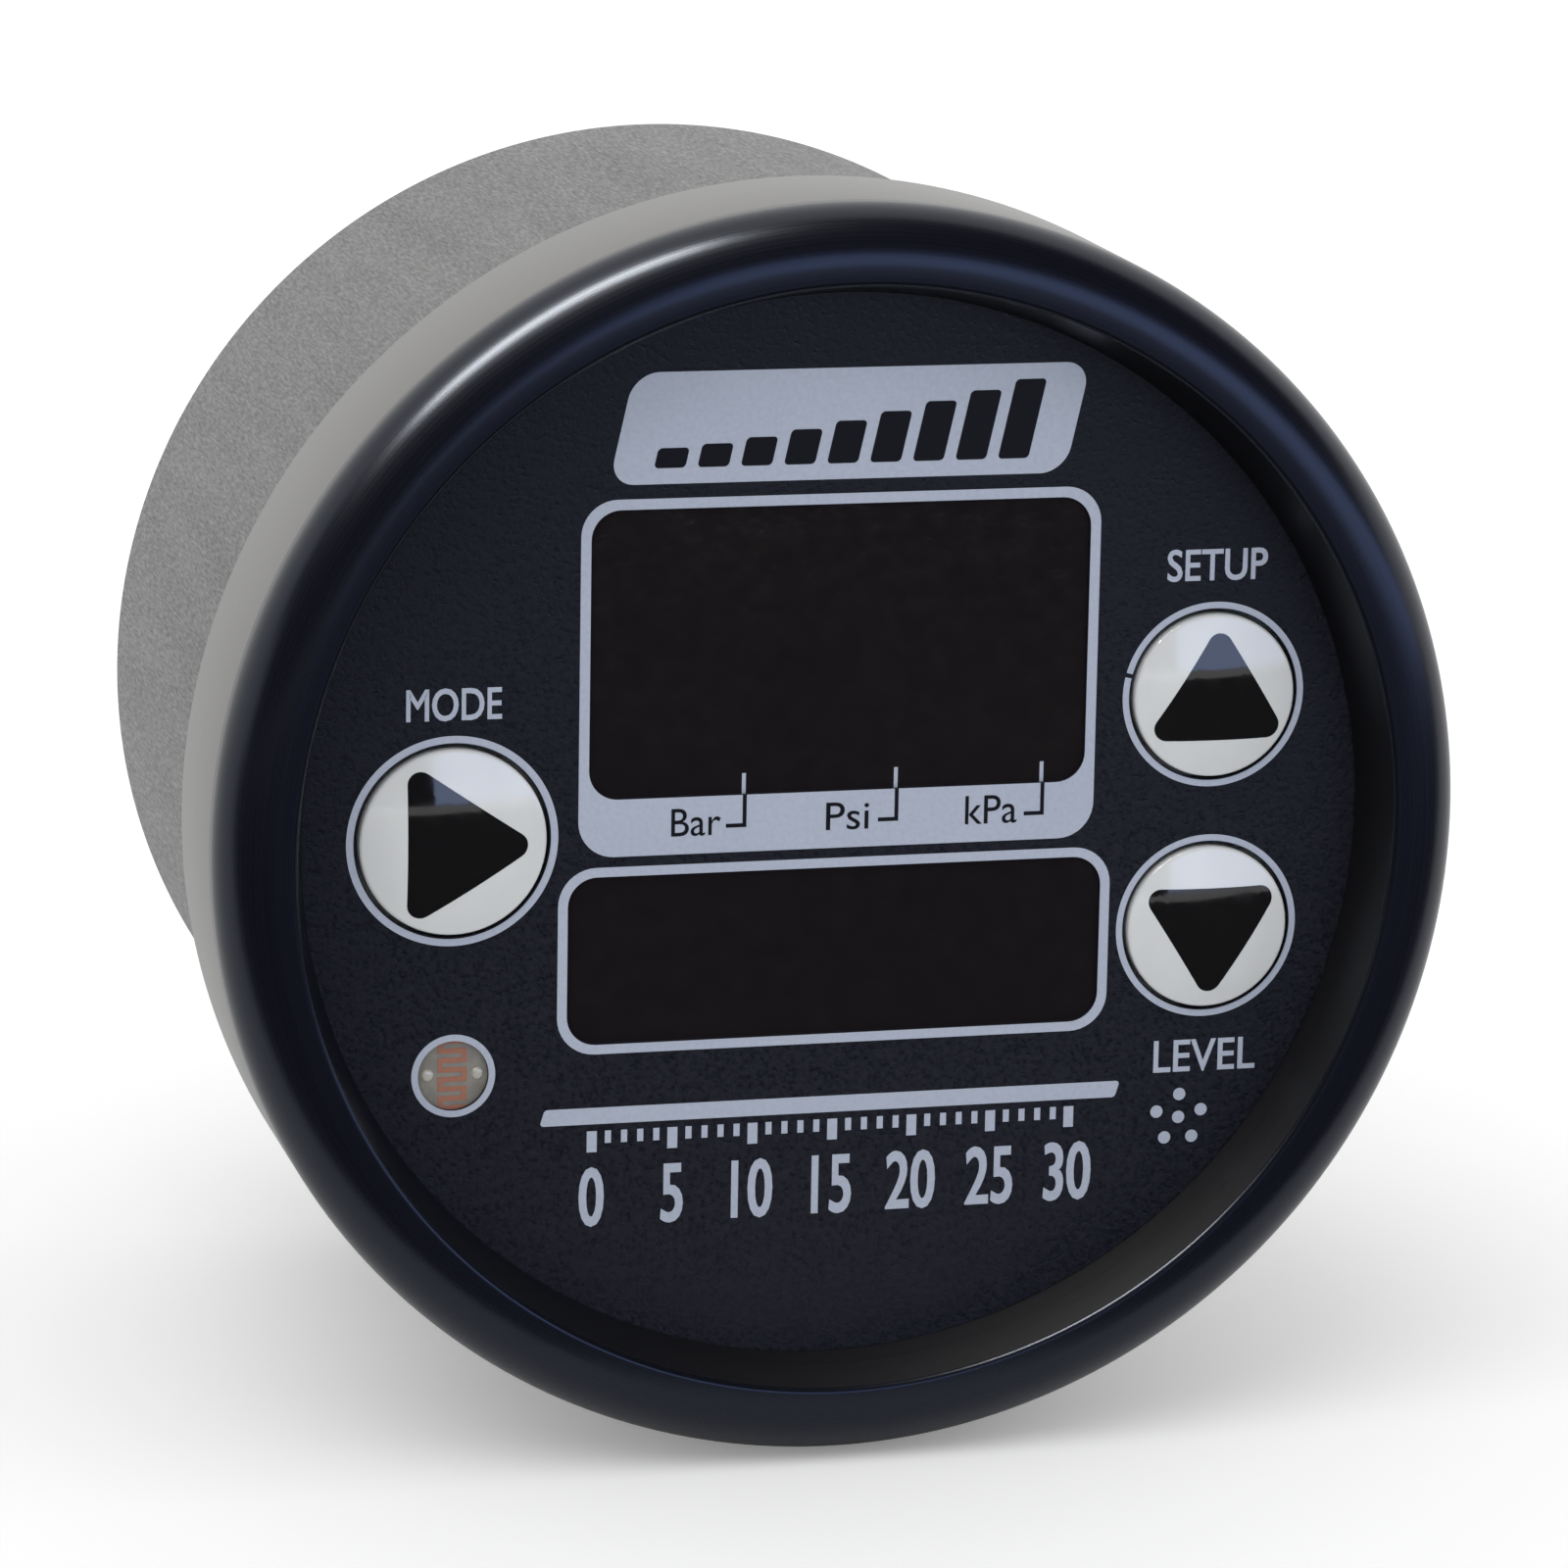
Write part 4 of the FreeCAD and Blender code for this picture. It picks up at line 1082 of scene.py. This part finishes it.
@dataclass
class LightSensor:
    """The photocell behind its ringed hole. Sizes are in millimetres."""

    radius: float = 2.1
    disc_depth: float = 1.4
    disc_edge: float = 0.15
    track_width: float = 0.26
    track_runs: int = 8
    track_side: float = 0.74
    track_top: float = 1.72
    track_depth: float = 0.04
    lead_radius: float = 0.34
    lead_edge: float = 0.2
    lead_proud: float = 0.12
    lead_pitch: float = 2.56

    def build(self) -> None:
        """Make the disc, its track and its lead ends."""
        across, _, up = centre_of("light_sensor")
        front = spans("light_sensor")[1][0]
        back = spans("light_sensor")[1][1]
        outline = rounded([
            (0.0, front), (self.radius, front), (self.radius, front + self.disc_depth),
            (0.0, front + self.disc_depth),
        ], {1: self.disc_edge, 2: self.disc_edge})
        dress(fresh_object("photocell", turned(outline, (across, up), SMALL_TURN_STEPS, closed=False)),
              HOUSING, SENSOR_CERAMIC, "light_sensor")
        self.track(across, up, front)
        for side in (-1, 1):
            place = (across + side * self.lead_pitch / 2, up)
            tip = front - self.lead_proud
            lead = rounded([(0.0, tip), (self.lead_radius, tip), (self.lead_radius, back), (0.0, back)],
                           {1: self.lead_edge})
            name = "photocell_lead_left" if side < 0 else "photocell_lead_right"
            dress(fresh_object(name, turned(lead, place, DRAFT_STEPS, closed=False)), HOUSING, SENSOR_LEAD)

    def track(self, across: float, up: float, front: float) -> None:
        """Lay the winding track across the disc."""
        ink = Print()
        pitch = 2 * self.track_top / (self.track_runs - 1)
        half = self.track_width / 2
        for number in range(self.track_runs):
            height = up + self.track_top - pitch * number
            left, right = across - self.track_side, across + self.track_side
            ink.stroke((left, height), (right, height), self.track_width)
            if number < self.track_runs - 1:
                side = across + (self.track_side - half) * (1 if number % 2 else -1)
                ink.stroke((side, height - half), (side, height - pitch + half), self.track_width)
        piece = ink.stand_up("photocell_track", front - self.track_depth / 2, self.track_depth)
        dress(piece, HOUSING, SENSOR_TRACK)


@dataclass
class Rear:
    """The cover and everything that stands on it. Sizes are in millimetres."""

    thread_pitch: float = 0.7
    thread_depth: float = 0.38
    thread_start: float = 0.3
    thread_chamfer: float = 0.4
    thread_rings: int = 8
    thread_steps: int = 48
    head_edge: float = 0.3
    stud_radius: float = 2.0
    shank_radius: float = 2.5
    stud_head_radius: float = 4.0
    edge: float = 0.12
    screw_edge: float = 0.06
    pin_edge: float = 0.08
    nut_edge: float = 0.15
    shell_edge: float = 0.25

    def build(self) -> None:
        """Dress the rear pieces."""
        for node, finish, width in (
            ("rear_cover", BLACK_ANODISED, self.edge),
            ("cover_screws", ZINC_SCREW, self.screw_edge),
            ("stud_nuts", ZINC_SCREW, self.nut_edge),
            ("hose_barb", BRASS, self.pin_edge),
            ("barb_nut", BRASS, self.edge),
            ("connector_shell", CONNECTOR_PLASTIC, self.shell_edge),
            ("connector_pins", TINNED_PIN, self.pin_edge),
        ):
            dress(softened(node, f"{node}_soft", width), HOUSING, finish, node)
        self.studs()

    def studs(self) -> None:
        """Turn the two mounting studs and cut a helical thread into each."""
        (left, right), (front, back), _ = spans("mounting_studs")
        cover_front, cover_back = spans("rear_cover")[1]
        nut_back = spans("stud_nuts")[1][1]
        head = self.stud_head_radius
        start = nut_back + self.thread_start
        rings = round((back - self.thread_chamfer - start) / self.thread_pitch * self.thread_rings)
        thread = [(self.stud_radius, start + (back - self.thread_chamfer - start) * ring / rings)
                  for ring in range(rings + 1)]
        outline = [(0.0, front), (head, front), (head, cover_front), (self.shank_radius, cover_front),
                   (self.shank_radius, nut_back), (self.stud_radius, nut_back)]
        tip = [(self.stud_radius - self.thread_chamfer, back), (0.0, back)]
        both = bmesh.new()
        for across in (left + head, right - head):
            profile = rounded(outline, {1: self.head_edge}) + thread + tip
            form = turned(profile, steps=self.thread_steps, closed=False)
            for vert in form.verts:
                along = vert.co.y / MM
                if start < along < back - self.thread_chamfer / 2:
                    turn = math.atan2(vert.co.z, vert.co.x) / math.tau
                    phase = (along / self.thread_pitch - turn) % 1.0
                    cut = self.thread_depth * abs(2.0 * phase - 1.0)
                    share = 1.0 - cut / self.stud_radius
                    vert.co.x *= share
                    vert.co.z *= share
            bmesh.ops.translate(form, verts=form.verts, vec=(across * MM, 0, 0))
            pour(form, both)
        dress(fresh_object("threaded_studs", both), HOUSING, ZINC_SCREW, "mounting_studs")


@dataclass
class Inside:
    """The boards and what they carry. Sizes are in millimetres."""

    chip_edge: float = 0.06
    case_edge: float = 0.18
    sleeve_edge: float = 0.35
    digit_share: float = 0.7
    digit_width: float = 0.52
    segment_width: float = 0.95
    segment_share: float = 0.8
    digit_lean: float = 0.14
    segment_depth: float = 0.03
    segment_round: float = 0.45
    point_radius: float = 0.55
    point_place: float = 0.4

    def build(self) -> None:
        """Dress the inner pieces."""
        painted = {
            "front_board": CIRCUIT_BOARD, "rear_board": CIRCUIT_BOARD,
            "pin_header": TINNED_PIN, "front_screws": ZINC_SCREW,
            "front_pillars": BRASS, "rear_pillars": BRASS, "sensor_hose": SILICONE_HOSE,
        }
        moulded = {
            "upper_display": (DISPLAY_EPOXY, self.case_edge),
            "lower_display": (DISPLAY_EPOXY, self.case_edge),
            "buzzer": (BLACK_PLASTIC, self.case_edge),
            "header_socket": (BLACK_PLASTIC, self.chip_edge),
        }
        for chip in ("microcontroller", "pressure_sensor", "driver_transistor", "voltage_regulator"):
            moulded[chip] = (CHIP_EPOXY, self.chip_edge)
        moulded["filter_capacitor"] = (CAPACITOR_SLEEVE, self.sleeve_edge)
        for key in ("mode", "up", "down"):
            painted[f"{key}_snap_dome"] = SPRING_STEEL
            moulded[f"{key}_switch"] = (BLACK_PLASTIC, self.chip_edge)
        for node, finish in painted.items():
            paint(node, finish)
        for node, (finish, edge) in moulded.items():
            dress(softened(node, f"{node}_case", edge), HOUSING, finish, node)
        self.digits("upper_display", 3)
        self.digits("lower_display", 4)

    def digits(self, node: str, count: int) -> None:
        """Lay the milky segments on the front of a display.

        Args:
            node: The display.
            count: How many digits it has.
        """
        (left, right), (front, _), (low, high) = spans(node)
        pitch = (right - left) / count
        tall = (high - low) * self.digit_share
        wide = pitch * self.digit_width
        segment = self.segment_width
        corner = segment * self.segment_round
        ink = Print()
        for number in range(count):
            across = left + pitch * (number + 0.5)
            up = (low + high) / 2
            for level in (-1, 0, 1):
                place = (across + self.digit_lean * level * tall / 2, up + level * tall / 2)
                ink.plate(wide * self.segment_share, segment, corner, place, self.digit_lean)
            for side, level in ((-1, -1), (-1, 1), (1, -1), (1, 1)):
                place = (across + side * wide / 2 + self.digit_lean * level * tall / 4, up + level * tall / 4)
                ink.plate(segment, tall / 2 * self.segment_share, corner, place, self.digit_lean)
            ink.disc(segment * self.point_radius, (across + pitch * self.point_place, up - tall / 2))
        dress(ink.stand_up(f"{node}_segments", front - self.segment_depth / 2, self.segment_depth),
              HOUSING, SEGMENT_RESIN)


@dataclass(frozen=True)
class SoftLamp:
    """A soft lamp that looks at the object. Lengths are in metres, power in watts.

    Direction is where it hangs, seen from the object, and along is what its length follows. Shift moves
    it along its length.
    """

    name: str
    direction: tuple[float, float, float]
    distance: float
    size: tuple[float, float]
    power: float
    along: tuple[float, float, float]
    colour: Colour
    shift: float = 0.0


@dataclass(frozen=True)
class Card:
    """A bent card that only reflections see. Lengths are in metres.

    Bends are its lower edge, its bends and its upper edge, as places along Y and up, and ends are its left
    and right ends.
    """

    name: str
    bends: tuple[tuple[float, float], ...]
    ends: tuple[float, float]
    colour: Colour
    glow: float


CARD_REACH = 3.5
CARD_SPLIT = 0.05
PANEL_WIDTH = CARD_REACH - CARD_SPLIT
PANEL_POWER = 2.3
LOWER_BENDS = ((-0.83, -0.03), (-0.83, 0.3))
UPPER_BENDS = ((-0.83, 0.3), (-0.83, 0.7), (-0.4, 0.95), (0.1, 0.95))
GREY_BLUE = (0.8, 0.85, 1.0)
DARK_BLUE = (0.5, 0.55, 0.8)
DARK_GLOW = 0.04
KEY_STRIP = SoftLamp(
    "key_strip", (-0.44, -0.14, 0.895), 0.6, (0.41, 0.13), 6.8, (-0.857, 0.0, -0.515),
    (1.0, 0.93, 0.82), -0.025,
)
FACE_PANEL = SoftLamp(
    "face_panel", (0.0, -0.986, 0.166), 0.811, (PANEL_WIDTH, 0.33), PANEL_POWER * PANEL_WIDTH,
    (1.0, 0.0, 0.0), (0.45, 0.58, 1.0), (CARD_REACH + CARD_SPLIT) / 2,
)
CARDS = (
    Card("studio_grey_card", LOWER_BENDS, (CARD_SPLIT, CARD_REACH), GREY_BLUE, 0.4),
    Card("studio_left_card", LOWER_BENDS, (-CARD_REACH, CARD_SPLIT), DARK_BLUE, DARK_GLOW),
    Card("studio_dark_card", UPPER_BENDS, (-CARD_REACH, CARD_REACH), DARK_BLUE, DARK_GLOW),
)


@dataclass
class Studio:
    """The floor, the light and the camera. Lengths are in metres, angles in degrees."""

    floor_level: float = -0.0323
    floor_side: float = 8.0
    floor_lift: float = 0.2
    ambient: float = 0.8
    sun_strength: float = 0.6
    panel_pieces: tuple[str, ...] = (
        "bezel", "graphic_overlay", "print_", "mode_", "up_", "down_", "photocell",
    )
    sun_spread: float = 40.0
    sun_direction: tuple[float, float, float] = (-0.35, -0.45, 0.82)
    floor_colour: Colour = (0.93, 0.93, 0.93)
    floor_roughness: float = 0.9
    dark_floor: tuple[float, float] = (-0.42, -0.03)
    dark_floor_colour: Colour = (0.03, 0.032, 0.04)
    camera_place: tuple[float, float, float] = (-0.082956, -0.322711, 0.077924)
    camera_turn: tuple[float, float, float] = (76.91626676, -0.97928902, -14.06414892)
    camera_lens: float = 152.77
    camera_sensor: float = 36.0
    camera_clip: float = 0.01

    def build(self) -> None:
        """Set up the studio."""
        self.floor()
        self.surroundings()
        self.lamp(KEY_STRIP)
        self.light_only(self.lamp(FACE_PANEL), self.panel_pieces)
        self.sun()
        for card in CARDS:
            self.card(card)
        self.camera()
        bpy.context.scene.view_settings.view_transform = "Standard"

    def floor(self) -> None:
        """Lay the plain pale floor."""
        form = bmesh.new()
        bmesh.ops.create_grid(form, x_segments=1, y_segments=1, size=self.floor_side / 2)
        bmesh.ops.translate(form, verts=form.verts, vec=(0, 0, self.floor_level))
        floor = fresh_object("studio_floor", form)
        material = bpy.data.materials.new("studio_floor_pale")
        material.use_nodes = True
        shader = material.node_tree.nodes["Principled BSDF"]
        shader.inputs["Base Color"].default_value = (*self.floor_colour, 1.0)
        shader.inputs["Roughness"].default_value = self.floor_roughness
        shader.inputs["Specular IOR Level"].default_value = 0.0
        shader.inputs["Emission Color"].default_value = (1.0, 1.0, 1.0, 1.0)
        path = material.node_tree.nodes.new("ShaderNodeLightPath")
        lift = material.node_tree.nodes.new("ShaderNodeMath")
        lift.operation = "MULTIPLY"
        lift.inputs[1].default_value = self.floor_lift
        material.node_tree.links.new(path.outputs["Is Camera Ray"], lift.inputs[0])
        material.node_tree.links.new(lift.outputs[0], shader.inputs["Emission Strength"])
        self.darken_front(material.node_tree, shader)
        floor.data.materials.append(material)

    def darken_front(self, tree: bpy.types.NodeTree, shader: bpy.types.Node) -> None:
        """Make the floor in front of the object dark where it is mirrored.

        Args:
            tree: The floor's node tree.
            shader: Its main shader.
        """
        path = tree.nodes.new("ShaderNodeLightPath")
        place = tree.nodes.new("ShaderNodeTexCoord")
        parts = tree.nodes.new("ShaderNodeSeparateXYZ")
        tree.links.new(place.outputs["Object"], parts.inputs[0])
        share = path.outputs["Is Glossy Ray"]
        for operation, limit in (("GREATER_THAN", self.dark_floor[0]), ("LESS_THAN", self.dark_floor[1])):
            inside = tree.nodes.new("ShaderNodeMath")
            inside.operation = operation
            inside.inputs[1].default_value = limit
            tree.links.new(parts.outputs["Y"], inside.inputs[0])
            both = tree.nodes.new("ShaderNodeMath")
            both.operation = "MULTIPLY"
            tree.links.new(share, both.inputs[0])
            tree.links.new(inside.outputs[0], both.inputs[1])
            share = both.outputs[0]
        dark = tree.nodes.new("ShaderNodeBsdfDiffuse")
        dark.inputs["Color"].default_value = (*self.dark_floor_colour, 1.0)
        blend = tree.nodes.new("ShaderNodeMixShader")
        tree.links.new(share, blend.inputs[0])
        tree.links.new(shader.outputs[0], blend.inputs[1])
        tree.links.new(dark.outputs[0], blend.inputs[2])
        output = next(node for node in tree.nodes if node.type == "OUTPUT_MATERIAL")
        tree.links.new(blend.outputs[0], output.inputs["Surface"])

    def surroundings(self) -> None:
        """Light from all round, with a white background for direct and mirrored views."""
        world = bpy.data.worlds.new("studio")
        bpy.context.scene.world = world
        world.use_nodes = True
        tree = world.node_tree
        tree.nodes.clear()
        path = tree.nodes.new("ShaderNodeLightPath")
        seen = path.outputs["Is Camera Ray"]
        for name in ("Is Glossy Ray", "Is Transmission Ray"):
            either = tree.nodes.new("ShaderNodeMath")
            either.operation = "MAXIMUM"
            tree.links.new(seen, either.inputs[0])
            tree.links.new(path.outputs[name], either.inputs[1])
            seen = either.outputs[0]
        shaders = []
        for strength in (self.ambient, 1.0):
            shader = tree.nodes.new("ShaderNodeBackground")
            shader.inputs["Color"].default_value = (1.0, 1.0, 1.0, 1.0)
            shader.inputs["Strength"].default_value = strength
            shaders.append(shader.outputs[0])
        blend = tree.nodes.new("ShaderNodeMixShader")
        tree.links.new(seen, blend.inputs[0])
        tree.links.new(shaders[0], blend.inputs[1])
        tree.links.new(shaders[1], blend.inputs[2])
        output = tree.nodes.new("ShaderNodeOutputWorld")
        tree.links.new(blend.outputs[0], output.inputs["Surface"])

    def lamp(self, plan: SoftLamp) -> bpy.types.Object:
        """Hang one soft lamp that only glossy surfaces see.

        Args:
            plan: What it is and where it hangs.

        Returns:
            The lamp.
        """
        data = bpy.data.lights.new(plan.name, "AREA")
        data.shape = "RECTANGLE"
        data.size, data.size_y = plan.size
        data.energy = plan.power
        data.color = plan.colour
        lamp = bpy.data.objects.new(plan.name, data)
        back = Vector(plan.direction).normalized()
        side = Vector(plan.along)
        side = (side - back * side.dot(back)).normalized()
        turn = Matrix((side, back.cross(side), back)).transposed().to_4x4()
        lamp.matrix_world = Matrix.Translation(back * plan.distance + side * plan.shift) @ turn
        lamp.visible_camera = False
        lamp.visible_diffuse = False
        bpy.context.scene.collection.objects.link(lamp)
        return lamp

    def light_only(self, lamp: bpy.types.Object, starts: tuple[str, ...]) -> None:
        """Let a lamp light only the pieces whose names start with these words."""
        lit = bpy.data.collections.new(f"{lamp.name}_pieces")
        for piece in bpy.context.scene.objects:
            if piece.type == "MESH" and piece.name.startswith(starts):
                lit.objects.link(piece)
        lamp.light_linking.receiver_collection = lit

    def sun(self) -> None:
        """Add one broad soft light from above, in front and to the left."""
        data = bpy.data.lights.new("soft_sun", "SUN")
        data.energy = self.sun_strength
        data.angle = math.radians(self.sun_spread)
        lamp = bpy.data.objects.new("soft_sun", data)
        lamp.rotation_euler = Vector(self.sun_direction).to_track_quat("Z", "Y").to_euler()
        bpy.context.scene.collection.objects.link(lamp)

    def card(self, plan: Card) -> None:
        """Stand a bent card in front of the object.

        Args:
            plan: What it is and where it stands.
        """
        form = bmesh.new()
        edge = form.edges.new([form.verts.new((across, *plan.bends[0])) for across in plan.ends])
        for before, after in zip(plan.bends, plan.bends[1:]):
            grown = bmesh.ops.extrude_edge_only(form, edges=[edge])["geom"]
            moved = [item for item in grown if isinstance(item, bmesh.types.BMVert)]
            edge = next(item for item in grown if isinstance(item, bmesh.types.BMEdge))
            bmesh.ops.translate(form, verts=moved, vec=(0, after[0] - before[0], after[1] - before[1]))
        card = fresh_object(plan.name, form)
        material = bpy.data.materials.new(plan.name)
        material.use_nodes = True
        shader = material.node_tree.nodes["Principled BSDF"]
        shader.inputs["Base Color"].default_value = (0.0, 0.0, 0.0, 1.0)
        shader.inputs["Emission Color"].default_value = (*plan.colour, 1.0)
        shader.inputs["Emission Strength"].default_value = plan.glow
        shader.inputs["Specular IOR Level"].default_value = 0.0
        card.data.materials.append(material)
        for ray in ("camera", "diffuse", "transmission", "volume_scatter", "shadow"):
            setattr(card, f"visible_{ray}", False)

    def camera(self) -> None:
        """Set the camera at the photograph's angle."""
        data = bpy.data.cameras.new("camera")
        data.lens = self.camera_lens
        data.sensor_width = self.camera_sensor
        data.clip_start = self.camera_clip
        camera = bpy.data.objects.new("camera", data)
        camera.location = self.camera_place
        camera.rotation_euler = [math.radians(angle) for angle in self.camera_turn]
        bpy.context.scene.collection.objects.link(camera)
        bpy.context.scene.camera = camera


def main() -> None:
    """Build every sub-assembly in order."""
    logging.basicConfig(level=logging.INFO, format="%(name)s %(message)s")
    for part in (Shells(), Face(), Keys(), LightSensor(), Rear(), Inside(), Studio()):
        LOG.info("building %s", type(part).__name__)
        part.build()


if __name__ == "__main__":
    main()
